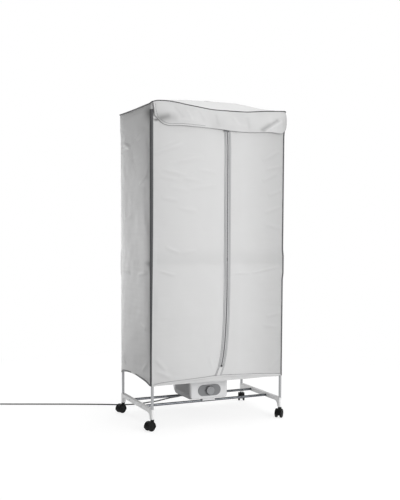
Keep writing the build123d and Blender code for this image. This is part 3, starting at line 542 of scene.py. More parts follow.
def shell(grid, thickness, keep=None):
    """Points and faces of a sheet: the grid's rows run up and its columns to the right, seen from outside.

    keep says which cells stay.
    """
    rows, columns = grid.shape[:2]
    out = unit(np.cross(np.gradient(grid, axis=1), np.gradient(grid, axis=0)))
    points = np.concatenate([grid.reshape(-1, 3), (grid - out * thickness).reshape(-1, 3)])
    at = np.arange(rows * columns).reshape(rows, columns)
    front = np.stack([at[:-1, :-1], at[:-1, 1:], at[1:, 1:], at[1:, :-1]], axis=-1)
    front = front.reshape(-1, 4) if keep is None else front[keep]
    edges = np.stack([front, np.roll(front, -1, axis=1)], axis=-1).reshape(-1, 2)
    key = edges[:, 0] * rows * columns + edges[:, 1]
    twin = edges[:, 1] * rows * columns + edges[:, 0]
    rim = edges[~np.isin(key, twin)]
    behind = rows * columns
    walls = np.stack([rim[:, 1], rim[:, 0], rim[:, 0] + behind, rim[:, 1] + behind], axis=-1)
    used, faces = np.unique(np.concatenate([front, front[:, ::-1] + behind, walls]), return_inverse=True)
    return points[used], faces.reshape(-1, 4).tolist(), used % behind


def strip(grid, thickness):
    """Points and faces of a sheet with no openings."""
    points, faces, _ = shell(grid, thickness)
    return points, faces


def cord_shape(path, radius, out, sides=10, loop=False):
    """Points and faces of a round cord along a path; out is a direction that the path never takes."""
    path = np.asarray(path, float)
    way = np.roll(path, -1, axis=0) - np.roll(path, 1, axis=0) if loop else np.gradient(path, axis=0)
    way = unit(way)
    right = unit(np.cross(way, out))
    up = np.cross(right, way)
    turn = np.linspace(0, 2 * math.pi, sides, endpoint=False)[None, :, None]
    ring = path[:, None] + radius * (np.cos(turn) * right[:, None] + np.sin(turn) * up[:, None])
    at = np.arange(len(path) * sides).reshape(len(path), sides)
    if loop:
        at = np.concatenate([at, at[:1]])
    after = np.roll(at, -1, axis=1)
    walls = np.stack([at[:-1], at[1:], after[1:], after[:-1]], axis=-1).reshape(-1, 4).tolist()
    caps = [] if loop else [at[0].tolist(), at[-1][::-1].tolist()]
    return ring.reshape(-1, 3), walls + caps


def block(centre, half, turned=None):
    """Points and faces of a box with cut corners, half its size each way from its centre."""
    corner = np.array([(x, y, z) for x in (-1, 1) for y in (-1, 1) for z in (-1, 1)], float) * half
    if turned is not None:
        corner = corner @ np.array(turned).T
    faces = [(0, 1, 3, 2), (4, 6, 7, 5), (0, 4, 5, 1), (2, 3, 7, 6), (0, 2, 6, 4), (1, 5, 7, 3)]
    return corner + np.array(centre), [list(face) for face in faces]


def mesh_piece(name, parts, material, shade=None, sharp=35):
    """One object of several parts, each given as points and faces."""
    points, faces, start = [], [], 0
    for part_points, part_faces in parts:
        points.append(np.asarray(part_points))
        faces.extend([[v + start for v in face] for face in part_faces])
        start += len(part_points)
    points = np.concatenate(points)
    mesh = bpy.data.meshes.new(name)
    mesh.from_pydata(points.tolist(), [], faces)
    mesh.shade_smooth()
    mesh.set_sharp_from_angle(angle=math.radians(sharp))
    if shade is not None:
        mesh.attributes.new("shade", "FLOAT", "POINT").data.foreach_set("value", shade.astype(np.float32))
    mesh.materials.append(material)
    made = bpy.data.objects.new(name, mesh)
    bpy.context.scene.collection.objects.link(made)
    return made


def cloth_piece(name, grid, shade, keep=None):
    """A sheet of the cover's cloth, with its painted shade and light at each point of the grid."""
    points, faces, source = shell(grid, sizes().cloth, keep)
    shade = shade.reshape(-1)[source]
    return mesh_piece(name, [(points, faces)], finish("coated_polyester"), shade, sharp=70)


def place_on(piece, body, slot, *nodes):
    """Has a piece ride on its body and stand for its nodes, whose solids it hides; slot is not used."""
    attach(piece, body)
    if nodes:
        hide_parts(*nodes)
    return piece


def sewn(name, parts, look, slot, *nodes, sharp=35):
    """A piece of several parts in one finish, which rides on the frame; one of cloth has no painted shade."""
    count = sum(len(points) for points, faces in parts)
    shade = np.ones(count) if look == "coated_polyester" else None
    return place_on(mesh_piece(name, parts, finish(look), shade, sharp), "frame", slot, *nodes)


def clouds(points, size, seed):
    """A smooth random height of about -1 to 1 over blots of that size, or of three sizes along the axes."""
    flat = (points.reshape(-1, 3) / size + seed).tolist()
    return np.array([noise.noise(p) for p in flat]).reshape(points.shape[:-1]) * 2


# Relief of the cloth

# Long folds in the front, each from one end to the other as x, z, x, z, with its width and its height
FRONT_FOLDS = (
    (-0.325, 1.226, -0.193, 1.277, 0.008, 1.0),
    (-0.258, 1.187, -0.090, 1.222, 0.010, 0.8),
    (-0.290, 1.160, -0.164, 1.138, 0.009, 0.9),
    (-0.300, 1.128, -0.190, 1.112, 0.009, 0.7),
    (-0.210, 1.126, -0.093, 1.114, 0.009, 0.7),
    (-0.163, 1.079, -0.020, 1.100, 0.010, 0.7),
    (-0.250, 1.085, -0.150, 1.070, 0.010, 0.6),
    (-0.290, 1.036, -0.210, 1.026, 0.008, 0.8),
    (-0.210, 0.990, -0.117, 0.980, 0.009, 0.6),
    (-0.120, 1.165, -0.020, 1.158, 0.008, 0.6),
    (-0.268, 0.818, -0.199, 0.791, 0.008, 0.8),
    (-0.200, 0.792, -0.120, 0.803, 0.010, 0.5),
    (-0.302, 0.714, -0.221, 0.694, 0.005, 1.0),
    (0.056, 0.700, 0.158, 0.699, 0.005, 0.9),
    (0.158, 0.699, 0.314, 0.727, 0.005, 1.0),
    (0.226, 0.979, 0.322, 1.009, 0.009, 0.7),
    (0.232, 0.924, 0.313, 0.908, 0.009, 0.7),
    (0.246, 1.058, 0.321, 1.088, 0.008, 0.9),
    (0.213, 1.219, 0.308, 1.269, 0.010, 1.1),
    (0.214, 1.127, 0.299, 1.167, 0.010, 1.0),
    (0.230, 1.180, 0.325, 1.200, 0.007, 0.8),
    (0.242, 0.492, 0.323, 0.508, 0.008, 0.7),
    (0.225, 0.450, 0.318, 0.440, 0.009, 0.5),
    (-0.318, 0.270, -0.240, 0.235, 0.010, 0.9),
    (-0.322, 0.330, -0.262, 0.262, 0.010, 0.7),
    (0.322, 0.300, 0.262, 0.240, 0.010, 0.7),
    (-0.060, 0.330, -0.030, 0.250, 0.009, 0.6),
)
BACK_FOLDS = (
    (-0.300, 1.320, -0.150, 1.280, 0.010, 1.0),
    (-0.120, 1.240, 0.080, 1.255, 0.012, 0.8),
    (0.130, 1.300, 0.310, 1.350, 0.010, 1.0),
    (0.180, 1.150, 0.300, 1.120, 0.009, 0.8),
    (-0.310, 1.080, -0.200, 1.110, 0.009, 0.8),
    (-0.090, 0.980, 0.060, 0.965, 0.010, 0.6),
    (-0.305, 0.705, -0.160, 0.690, 0.006, 0.9),
    (0.100, 0.693, 0.300, 0.715, 0.006, 1.0),
    (-0.290, 0.480, -0.190, 0.455, 0.010, 0.7),
    (0.160, 0.420, 0.290, 0.450, 0.010, 0.7),
    (-0.315, 0.300, -0.240, 0.245, 0.010, 0.8),
    (0.315, 0.300, 0.240, 0.245, 0.010, 0.8),
)
SIDE_FOLDS = (
    (-0.150, 1.340, -0.040, 1.300, 0.010, 0.9),
    (0.030, 1.270, 0.150, 1.300, 0.010, 0.7),
    (-0.170, 1.130, -0.080, 1.100, 0.009, 0.8),
    (0.020, 0.960, 0.130, 0.940, 0.010, 0.5),
    (-0.170, 0.700, -0.060, 0.690, 0.007, 1.0),
    (0.040, 0.692, 0.160, 0.705, 0.007, 0.8),
    (-0.160, 0.450, -0.090, 0.470, 0.009, 0.6),
    (-0.175, 0.300, -0.110, 0.255, 0.010, 0.8),
    (0.175, 0.300, 0.110, 0.255, 0.010, 0.8),
)
CREASE_Z = 0.738
CREASE_ABOVE = 0.034
CREASE_BELOW = 0.017
PUCKER = 0.017  # from one pucker to the next along a seam
PUCKER_REACH = (0.003, 0.014)  # distances from the seam over which the puckers rise and fall off again
ZIP_PUCKERS = 1.3  # how much higher they are along the zip
LUMPS = ((0.0011, 0.16, 0), (0.0005, 0.05, 5))  # height and size of the walls' lumps, and a shift of the seed
RIPPLE = (0.10, 0.10, 0.016)  # size of the ripples that lie across the cloth
RIPPLE_HEIGHT = 0.00014
TOP_LUMPS = ((0.0016, 0.14, 21.0), (0.0007, 0.045, 4.0))  # height, size and seed
EAVES = 1.440  # height at which the walls lie flat under the top
SEAM_FADE = 0.02  # width beside a seam over which lumps, ripples and the crease fade
TOP_FADE = 0.03  # the same for the top's lumps
DEEPEST = -0.006  # how far the front and the back sink in at most
SIDE_DEEPEST = -0.004
ZIP_FADE = 0.06  # width beside the zip's tapes over which the front comes out to its fullness
ZIP_SHARE = 0.12  # how much of it is left at the tapes
RIGHT_SHADE = 0.125  # painted shade: how much darker the front's right end is than its middle
RIGHT_SHADE_X = (0.10, 0.27)  # where that begins and where it is full
CORNER_SHADE = 0.11  # painted shade: how much darker the front and the back are beside the corners
BRACKET_SHADE = 0.04  # painted shade: how much darker they are over the middle brackets
BRACKET_BANDS = ((0.758, 0.022, 1.0), (0.785, 0.030, 0.6))  # height, half height and share of these bands
FOLD_PAINTED_LIGHT = 0.05  # painted highlight and shade: how much lighter a fold's ridge is, and how much darker the cloth just below it
FOLD_BELOW = 0.009  # how far below the ridge that painted shade lies
HUG_AT = (0.190, 0.250, 0.660, 0.697, 0.768, 0.810, 1.330, 1.374)  # heights and how freely the cloth
HUG_SHARE = (0.6, 1.0, 1.0, 0.0, 0.0, 1.0, 1.0, 0.0)  # draws in there: not at all round the brackets
HUG_REACH = 0.06
HUG_CORNERS = ((1, -1, 1.0), (-1, 1, 0.8), (1, 1, 1.0))  # the front left corner stands out everywhere
DENT_DEPTH = 0.0015
DENTS = (  # where the side sinks in beside the front corner: y, z, half width, half height, depth of shade
    (-0.196, 1.400, 0.048, 0.028, 0.55),
    (-0.200, 0.744, 0.044, 0.011, 0.42),
    (-0.202, 0.731, 0.012, 0.024, 0.50),
)


def near_line(along, z, ends, width):
    """How far each point is along a line, as a share, and 1 on the line with a fall to its sides and ends."""
    a0, z0, a1, z1 = ends
    run_a, run_z = a1 - a0, z1 - z0
    share = np.clip(((along - a0) * run_a + (z - z0) * run_z) / (run_a**2 + run_z**2), 0, 1)
    away = (along - a0 - share * run_a) ** 2 + (z - z0 - share * run_z) ** 2
    return share, np.exp(-away / width**2)


def fold_relief(along, z, folds):
    """Height of the long folds, rounded across and fading to both ends."""
    total = np.zeros_like(z)
    for *ends, width, height in folds:
        share, near = near_line(along, z, ends, width)
        total += height * np.sqrt(4 * share * (1 - share) + 1e-9) * near
    return total


def crease_relief(z):
    """Depth of the packing crease: it dips in slowly from above and comes out quickly below."""
    above = np.exp(-(np.maximum(z - CREASE_Z, 0) / CREASE_ABOVE) ** 1.15)
    below = np.exp(-(np.maximum(CREASE_Z - z, 0) / CREASE_BELOW) ** 1.15)
    return np.where(z > CREASE_Z, above, below)


def pucker_relief(z, away, seed):
    """Short ripples square to a seam, fading within a few centimetres of it."""
    rise, fall = PUCKER_REACH
    beat = np.sin(2 * math.pi * z / PUCKER + 2.1 * np.sin(z * 37 + seed) + seed)
    near = np.exp(-away / fall) * (1 - np.exp(-away / rise))
    return beat * near * (0.6 + 0.4 * np.sin(z * 23 + 2 * seed))


def end_fullness(x):
    """How far the front and the back stand out at x."""
    return sizes().fullness * np.clip(1 - (x / POST_X) ** 2, 0, 1)


def side_fullness(y):
    """How far a side stands out at y: evenly, and turning in quickly near the posts."""
    return sizes().side_fullness * np.clip(1 - (y / POST_Y) ** 6, 0, 1)


def zip_share(x, z):
    """How much of the front's relief is left beside the zip, which lies flat."""
    share = ramp(np.abs(x - zip_at(z)), TAPE_OUT, TAPE_OUT + ZIP_FADE)
    return ZIP_SHARE + (1 - ZIP_SHARE) * eased(share)


def panel_relief(grid, along, half, folds, seed):
    """How far a wall stands out over its fullness, from its lumps, folds, ripples and puckers."""
    z = grid[..., 2]
    away = np.maximum(half - np.abs(along), 0)
    loose = ramp(away, 0, SEAM_FADE) * ramp(z, EAVES, EAVES - 0.05)
    lift = sum(height * clouds(grid, size, seed + shift) for height, size, shift in LUMPS) * loose
    ripples = RIPPLE_HEIGHT * clouds(grid, np.array(RIPPLE), seed + 9)
    lift += ripples * (1 + 2 * np.exp(-away / 0.05)) * loose
    lift += sizes().folds * fold_relief(along, z, folds) * ramp(away, 0, 0.01)
    return lift + sizes().puckers * pucker_relief(z, away, seed)


def end_shade(x, z):
    """Painted shade of the front or the back, as the share of its colour that it keeps: less beside the
    corners and over the brackets.
    """
    bands = sum(share * np.exp(-(((z - at) / high) ** 2)) for at, high, share in BRACKET_BANDS)
    return 1 - CORNER_SHADE * np.abs(x / POST_X) ** 2.4 - BRACKET_SHADE * np.clip(bands, 0, 1)


def hugged(grid):
    """Draws points of the cover in round the posts, between the brackets that hold it out."""
    x, y, z = np.moveaxis(np.array(grid, float), -1, 0)
    free = sizes().hug * eased(np.interp(z, HUG_AT, HUG_SHARE))
    for sx, sy, share in HUG_CORNERS:
        away = np.hypot(x - sx * POST_X, y - sy * POST_Y)
        near = free * share * np.exp(-((away / HUG_REACH) ** 2))
        x, y = x - sx * near, y - sy * near
    return points_at(x, y, z)


def arch(front, ridge, rear, y):
    """Height of the top at y, on a parabola through its front edge, its ridge and its rear edge."""
    t = y / SEAM_Y
    return ridge + (rear - front) / 2 * t + ((rear + front) / 2 - ridge) * t * t


def top_edge(hand, y):
    """Height of the top panel's left or right edge, before it turns down."""
    return arch(*(float(line(hand * TOP_X)) for line in (top_front, top_ridge, top_rear)), y)


def corner_plan(sx, sy, out, beyond, bare=0.0):
    """A corner of the cover seen from above, counterclockwise: x, y, and how much it faces sideways.

    bare is the share of the turn that is left out at the front's or the back's end.
    """
    share = np.concatenate([[0], np.linspace(0, 1, 9), [1]]) * (1 - bare)
    if sx * sy < 0:
        share = share + bare
    turn = share * math.pi / 2 + math.atan2(sy, sx) - math.pi / 4
    along = np.concatenate([[-beyond], np.zeros(9), [beyond]])
    x = sx * POST_X + (CORNER_R + out) * np.cos(turn) - along * np.sin(turn)
    y = sy * POST_Y + (CORNER_R + out) * np.sin(turn) + along * np.cos(turn)
    return x, y, np.cos(turn) ** 2


def end_top(sx, sy):
    """Height of the top at one corner, along its front or rear edge."""
    return float(top_front(sx * POST_X) if sy < 0 else top_rear(sx * POST_X))


def corner_sheet(sx, sy, out, beyond, thickness, top=math.inf, bare=0.0):
    """Points and faces of the strip round one upright corner, from the hem to the top or to a height.

    bare is the share of the turn that the strip leaves out at the hem; higher up it covers it all.
    """
    up = steps(0, 1, COARSE)[:, None]
    x, y, sideways = corner_plan(sx, sy, out, beyond, bare * (1 - eased(ramp(up, 0, 0.7))))
    low = sideways * hem_side(sy * POST_Y) + (1 - sideways) * hem_front(sx * POST_X)
    high = sideways * top_edge(sx, sy * POST_Y) + (1 - sideways) * end_top(sx, sy) - UNDER_TOP
    z = low + (np.minimum(high, top) - low) * up
    return strip(hugged(points_at(x, y, z)), thickness)


# Pieces


class DRYER_OT_view(bpy.types.Operator):
    """Set the camera at the photograph's angle"""

    bl_idname = "dryer.view"
    bl_label = "Camera"

    def execute(self, context):
        turn, dip = math.radians(CAMERA_TURN), math.radians(CAMERA_DIP)
        ahead = Vector((math.sin(turn) * math.cos(dip), math.cos(turn) * math.cos(dip), -math.sin(dip)))
        lens = bpy.data.cameras.new("camera")
        lens.lens = LENS
        lens.shift_y = LENS_SHIFT
        camera = bpy.data.objects.new("camera", lens)
        level = ahead.to_track_quat("-Z", "Y").to_matrix()
        turned = level @ Matrix.Rotation(math.radians(CAMERA_ROLL), 3, "Z")
        camera.matrix_world = Matrix.Translation(CAMERA_AT) @ turned.to_4x4()
        context.scene.collection.objects.link(camera)
        context.scene.camera = camera
        return {"FINISHED"}


def coil_points():
    """The coil's turns, in on the floor and out again a layer higher, and the plug's tail."""
    before, last = Vector(LEAD_ROUTE[-2]), Vector(LEAD_ROUTE[-1])
    way_in = (last - before).normalized()
    growth = COIL_STEP / (2 * math.pi)
    start = math.atan2(way_in.y, way_in.x) - math.atan2(COIL_R, -growth)
    end = -math.pi / 2 - math.atan2(COIL_R, growth)
    turn = 2 * math.pi * COIL_TURNS + (end - start) % (2 * math.pi)
    first = last + way_in * sizes().lead
    middle = first - Vector((math.cos(start), math.sin(start), 0)) * COIL_R
    count = round(turn / (2 * math.pi) * COIL_POINTS)
    points = []
    for number in range(count + 1):
        turned = turn * number / count
        radius = COIL_R - growth * min(turned, turn - turned)
        climb = min(max((turned - turn / 2) / math.pi + 0.5, 0), 1)
        angle = start + turned
        place = Vector((math.cos(angle) * radius, math.sin(angle) * radius, COIL_STEP * eased(climb)))
        points.append(middle + place)
    points.append(points[-1] + Vector((0, -TAIL, 0)))
    return points


class DRYER_OT_lead(bpy.types.Operator):
    """Lay the mains lead from its strain relief to the plug, with its spare length coiled"""

    bl_idname = "dryer.lead"
    bl_label = "Mains lead"

    def execute(self, context):
        line = bpy.data.curves.new("mains_lead", "CURVE")
        line.dimensions = "3D"
        line.bevel_depth = sizes().lead / 2
        line.bevel_resolution = 5
        line.use_fill_caps = True
        points = [Vector(p) for p in LEAD_ROUTE] + coil_points()
        spline = line.splines.new("NURBS")
        spline.points.add(len(points) - 1)
        for point, place in zip(spline.points, points):
            point.co = (*place, 1)
        spline.order_u = 3
        spline.use_endpoint_u = True
        spline.resolution_u = 8
        lead = bpy.data.objects.new("mains_lead", line)
        context.scene.collection.objects.link(lead)
        line.materials.append(finish("black_pvc"))
        place_on(lead, "frame", "cord_rubber", "power_cord", "cord_coil")
        dress({"plug_body": "black_pvc", "cord_gland": "black_pvc", "plug_pins": "nickel_plated_brass"})
        return {"FINISHED"}


class DRYER_OT_stage(bpy.types.Operator):
    """Set a pale floor, a white surround and soft studio lamps"""

    bl_idname = "dryer.stage"
    bl_label = "Stage"

    def execute(self, context):
        signs = ((-1, -1), (1, -1), (1, 1), (-1, 1))
        mesh = bpy.data.meshes.new("floor")
        mesh.from_pydata([(x * FLOOR_HALF, y * FLOOR_HALF, 0) for x, y in signs], [], [(0, 1, 2, 3)])
        floor = bpy.data.objects.new("floor", mesh)
        context.scene.collection.objects.link(floor)
        paper = bpy.data.materials.new("studio_paper")
        paper.use_nodes = True
        tree = paper.node_tree
        tree.nodes.clear()
        thrown, grey, glowing = PAPER
        plain = add(tree, "ShaderNodeBsdfDiffuse", {"Color": (thrown, thrown, thrown, 1)})
        lit = add(tree, "ShaderNodeBsdfDiffuse", {"Color": (grey, grey, grey, 1)})
        glow = add(tree, "ShaderNodeEmission", {"Strength": glowing})
        both = add(tree, "ShaderNodeAddShader", {0: lit.outputs[0], 1: glow.outputs[0]})
        white = add(tree, "ShaderNodeEmission", {"Strength": 1.0})
        place = add(tree, "ShaderNodeTexCoord").outputs["Object"]
        away = add(tree, "ShaderNodeVectorMath", {0: place}, operation="LENGTH").outputs["Value"]
        near, far = FLOOR_SHOWS
        limits = {"Value": away, "From Min": near, "From Max": far}
        gone = add(tree, "ShaderNodeMapRange", limits, interpolation_type="SMOOTHSTEP").outputs["Result"]
        fading = add(tree, "ShaderNodeMixShader", {0: gone, 1: both.outputs[0], 2: white.outputs[0]})
        path = add(tree, "ShaderNodeLightPath").outputs
        rays = {0: path["Is Camera Ray"], 1: path["Is Glossy Ray"]}
        seen = add(tree, "ShaderNodeMath", rays, operation="MAXIMUM").outputs[0]
        shown = add(tree, "ShaderNodeMixShader", {0: seen, 1: plain.outputs[0], 2: fading.outputs[0]})
        add(tree, "ShaderNodeOutputMaterial", {"Surface": shown.outputs[0]})
        mesh.materials.append(paper)

        world = bpy.data.worlds.new("studio")
        context.scene.world = world
        world.use_nodes = True
        tree = world.node_tree
        tree.nodes.clear()
        way = add(tree, "ShaderNodeTexCoord").outputs["Generated"]
        facing = add(tree, "ShaderNodeVectorMath", {0: way, 1: BRIGHT_WAY}, operation="DOT_PRODUCT")
        limits = dict(zip(("From Min", "From Max", "To Min", "To Max"), SURROUND))
        fill = add(tree, "ShaderNodeMapRange", {"Value": facing.outputs["Value"], **limits})
        path = add(tree, "ShaderNodeLightPath").outputs
        rays = {0: path["Is Camera Ray"], 1: path["Is Transmission Ray"]}
        seen = add(tree, "ShaderNodeMath", rays, operation="MAXIMUM").outputs[0]
        limits = {"Value": seen, "To Min": fill.outputs["Result"], "To Max": 1.0}
        level = add(tree, "ShaderNodeMapRange", limits).outputs["Result"]
        glow = add(tree, "ShaderNodeBackground", {"Color": (1, 1, 1, 1), "Strength": level})
        add(tree, "ShaderNodeOutputWorld", {"Surface": glow.outputs[0]})

        for name, place, aim, size, power in LAMPS:
            lamp = bpy.data.lights.new(name, "AREA")
            lamp.size = size
            lamp.energy = power
            made = bpy.data.objects.new(name, lamp)
            made.location = place
            made.rotation_mode = "QUATERNION"
            made.rotation_quaternion = (Vector(aim) - Vector(place)).to_track_quat("-Z", "Y")
            made.visible_camera = False
            context.scene.collection.objects.link(made)
        context.scene.view_settings.view_transform = "Standard"
        return {"FINISHED"}


class DRYER_OT_frame(bpy.types.Operator):
    """Finish the posts, brackets, rails, screws and casters"""

    bl_idname = "dryer.frame"
    bl_label = "Frame and casters"

    def execute(self, context):
        finishes = {
            "post": "silver_painted_steel",
            "side_bracket": "white_polypropylene",
            "crossbar": "chromed_steel",
            "frame_screws": "zinc_plated_steel",
            "caster_stems": "zinc_plated_steel",
            "caster_hood": "black_nylon",
            "caster_wheel": "black_nylon",
        }
        dress(finishes)
        return {"FINISHED"}


class DRYER_OT_front(bpy.types.Operator):
    """Make the two front panels, one on each side of the zip"""

    bl_idname = "dryer.front"
    bl_label = "Front panels"

    def execute(self, context):
        for side, hand in (("left", -1), ("right", 1)):
            z = steps(0.2, 1.443)[:, None]
            share = steps(0, POST_X)[None, :] / POST_X
            up = (z - z[0]) / (z[-1] - z[0])
            for _ in range(5):  # the zip's x depends on the height, and the height on x
                inner = zip_at(z) + hand * ZIP_SLIT
                x = -POST_X + (inner + POST_X) * share if hand < 0 else inner + (POST_X - inner) * share
                z = hem_front(x) + (top_front(x) - UNDER_TOP - hem_front(x)) * up
            grid = points_at(x, -FRONT, z)
            edge = ramp(np.abs(x), POST_X, POST_X - SEAM_FADE)
            lift = end_fullness(x) + panel_relief(grid, x, POST_X, FRONT_FOLDS, 3.7)
            lift = (lift - sizes().crease * crease_relief(z) * edge) * zip_share(x, z)
            beside_zip = np.maximum(np.abs(x - zip_at(z)) - TAPE_OUT, 0)
            lift += ZIP_PUCKERS * sizes().puckers * pucker_relief(z, beside_zip, 1.3 + hand)
            grid[..., 1] -= np.maximum(lift, DEEPEST)
            # painted shade and light: darker beside the corners, over the middle brackets and at the right
            # end, lighter on fold ridges and darker below them, and painted shadows under the flap's ends
            painted_fold_light = fold_relief(x, z, FRONT_FOLDS) - fold_relief(x, z + FOLD_BELOW, FRONT_FOLDS)
            shade = end_shade(x, z) - RIGHT_SHADE * ramp(x, *RIGHT_SHADE_X) + FOLD_PAINTED_LIGHT * painted_fold_light
            for *place, depth in FLAP_SHADOWS:
                shade -= depth * spot(x, z, *place)
            panel = cloth_piece(f"front_panel_{side}", hugged(grid), shade)
            place_on(panel, "frame", "cover_fabric", f"cover_front_{side}")
        return {"FINISHED"}


class DRYER_OT_walls(bpy.types.Operator):
    """Make the back panel and the two side panels"""

    bl_idname = "dryer.walls"
    bl_label = "Back and side panels"

    def execute(self, context):
        up = steps(0, WALL_HEIGHT, COARSE)[:, None] / WALL_HEIGHT
        x = -steps(-POST_X, POST_X, COARSE)[None, :] + 0 * up
        z = hem_front(x) + (top_rear(x) - UNDER_TOP - hem_front(x)) * up
        grid = points_at(x, BACK, z)
        edge = ramp(np.abs(x), POST_X, POST_X - SEAM_FADE)
        lift = end_fullness(x) + panel_relief(grid, x, POST_X, BACK_FOLDS, 8.2)
        grid[..., 1] += np.maximum(lift - sizes().crease * crease_relief(z) * edge, DEEPEST)
        # painted shade beside the corners and over the middle brackets
        back = cloth_piece("back_panel", hugged(grid), end_shade(x, z))
        place_on(back, "frame", "cover_fabric", "cover_back")

        up = steps(0, WALL_HEIGHT)[:, None] / WALL_HEIGHT
        for side, hand in (("left", -1), ("right", 1)):
            y = hand * steps(-POST_Y, POST_Y)[None, :] + 0 * up
            z = hem_side(y) + (top_edge(hand, y) - 0.001 - hem_side(y)) * up
            grid = points_at(hand * SIDE, y, z)
            lift = side_fullness(y) * ramp(z, EAVES, EAVES - 0.03)
            lift += panel_relief(grid, y, POST_Y, SIDE_FOLDS, 12.4 + hand)
            shade = np.ones_like(y)
            for *place, depth in DENTS:
                dent = spot(y, z, *place)
                lift -= DENT_DEPTH * dent
                shade -= depth * dent
            grid[..., 0] += hand * np.maximum(lift, SIDE_DEEPEST)
            panel = cloth_piece(f"side_panel_{side}", hugged(grid), shade)
            place_on(panel, "frame", "cover_fabric", f"cover_side_{side}")
        return {"FINISHED"}


def rounded(grid):
    """Rounds the corners of the top panel, seen from above, like those of the walls below it."""
    beyond_x = np.maximum(np.abs(grid[..., 0]) - POST_X, 0)
    beyond_y = np.maximum(np.abs(grid[..., 1]) - POST_Y, 0)
    reach = np.maximum(beyond_x, beyond_y) / np.maximum(np.hypot(beyond_x, beyond_y), 1e-9)
    reach = np.where((beyond_x > 0) & (beyond_y > 0), reach, 1)
    made = grid.copy()
    made[..., 0] -= np.sign(grid[..., 0]) * beyond_x * (1 - reach)
    made[..., 1] -= np.sign(grid[..., 1]) * beyond_y * (1 - reach)
    return made


def top_height(x, y):
    return arch(top_front(x), top_ridge(x), top_rear(x), y)


class DRYER_OT_top(bpy.types.Operator):
    """Make the tented top panel, with its short drop behind the flap"""

    bl_idname = "dryer.top"
    bl_label = "Top panel"

    def execute(self, context):
        x = steps(-TOP_X, TOP_X)
        y = steps(-SEAM_Y, SEAM_Y)[:, None]
        beyond, rolled = np.array(ROLL).T
        x_all = np.concatenate([-TOP_X - beyond[::-1], x, TOP_X + beyond])
        roll = np.concatenate([rolled[::-1], 0 * x, rolled])
        grid = points_at(x_all, y, top_height(x_all[None, :], y) - SIDE_ROLL * roll)
        inside = ramp(np.abs(grid[..., 0]), TOP_X, TOP_X - TOP_FADE)
        inside = inside * ramp(np.abs(grid[..., 1]), SEAM_Y, SEAM_Y - TOP_FADE)
        grid[..., 2] += sum(height * clouds(grid, size, seed) for height, size, seed in TOP_LUMPS) * inside
        drop = []
        for level in DROP_LEVELS:
            height = DROP_LOW + (top_front(x_all) - DROP_LOW) * level
            narrow = x_all * (POST_X / x_all[-1])
            drop.append(points_at(narrow, 0.0006 - SEAM_Y, height))
        grid = np.concatenate([np.array(drop), rounded(grid)])
        top = cloth_piece("top_panel", grid, np.ones(grid.shape[:2]))
        place_on(top, "frame", "cover_fabric", "cover_top")
        for number, (x_at, y_at) in enumerate(VENTS):
            ring, wires = vent_parts(x_at, y_at)
            sewn(f"vent_ring_{number + 1}", [ring], "dyed_grosgrain", "cover_fabric", sharp=60)
            sewn(f"vent_mesh_{number + 1}", wires, "stitching_thread", "cover_fabric", sharp=60)
        return {"FINISHED"}


def vent_parts(x_at, y_at):
    """An oval ring that lies on the top, and the wires of the mesh inside it."""
    turn = np.linspace(0, 2 * math.pi, 48, endpoint=False)
    runs = []
    for across in np.linspace(-0.8, 0.8, 9):
        reach = VENT_Y * math.sqrt(1 - across**2)
        runs.append((np.full(5, x_at + VENT_X * across), np.linspace(-reach, reach, 5) + y_at))
    for along in np.linspace(-0.6, 0.6, 5):
        reach = VENT_X * math.sqrt(1 - along**2)
        runs.append((np.linspace(-reach, reach, 5) + x_at, np.full(5, y_at + VENT_Y * along)))
    wires = [on_top(x, y, 0.0008, 0.0006, 6) for x, y in runs]
    return on_top(x_at + VENT_X * np.cos(turn), y_at + VENT_Y * np.sin(turn), 0.0012, 0.0018, 8, True), wires


def on_top(x, y, above, radius, sides, loop=False):
    """A cord that runs on the top, its middle a little above it."""
    return cord_shape(points_at(x, y, top_height(x, y) + above), radius, (0, 0, 1), sides, loop)


class DRYER_OT_bottom(bpy.types.Operator):
    """Make the bottom panel, open round the heater's neck and the posts, turned up inside the hems"""

    bl_idname = "dryer.bottom"
    bl_label = "Bottom panel"

    def execute(self, context):
        half_x, half_y = SIDE - BELLY_IN[0], FRONT - BELLY_IN[1]
        x = steps(-half_x, half_x)[None, :]
        y = -steps(-half_y, half_y)[:, None]
        rise = BELLY_RISE * (x / half_x) ** 2
        z = BELLY_Z + rise * (1 - (y / half_y) ** 2)
        grid = points_at(x, y, z)
        away = np.hypot(grid[..., 0] - NECK.x, grid[..., 1] - NECK.y)
        near = np.abs(away - NECK_ROOM) < CELL
        pull = np.where(near, NECK_ROOM / np.maximum(away, 1e-6), 1)
        grid[..., 0] = NECK.x + (grid[..., 0] - NECK.x) * pull
        grid[..., 1] = NECK.y + (grid[..., 1] - NECK.y) * pull
        grid[..., 2] += 0.001 * clouds(grid, 0.09, 2.0)
        turned_up = []
        for y_at, order in ((half_y, (1, 0.5)), (-half_y, (0.5, 1))):
            high = np.maximum(hem_front(x[0]) + 0.006, BELLY_Z + 0.002)
            for level in order:
                height = BELLY_Z + (high - BELLY_Z) * level
                turned_up.append(points_at(x[0], y_at, height))
        grid = np.concatenate([np.array(turned_up[:2]), grid, np.array(turned_up[2:])])
        centre = (grid[:-1, :-1] + grid[1:, 1:]) / 2
        from_neck = np.hypot(centre[..., 0] - NECK.x, centre[..., 1] - NECK.y)
        from_post = np.hypot(np.abs(centre[..., 0]) - POST_X, np.abs(centre[..., 1]) - POST_Y)
        keep = (from_neck > NECK_ROOM) & (from_post > POST_ROOM)
        bottom = cloth_piece("bottom_panel", grid, np.full(grid.shape[:2], 0.97), keep)
        place_on(bottom, "frame", "cover_fabric", "cover_bottom")
        return {"FINISHED"}


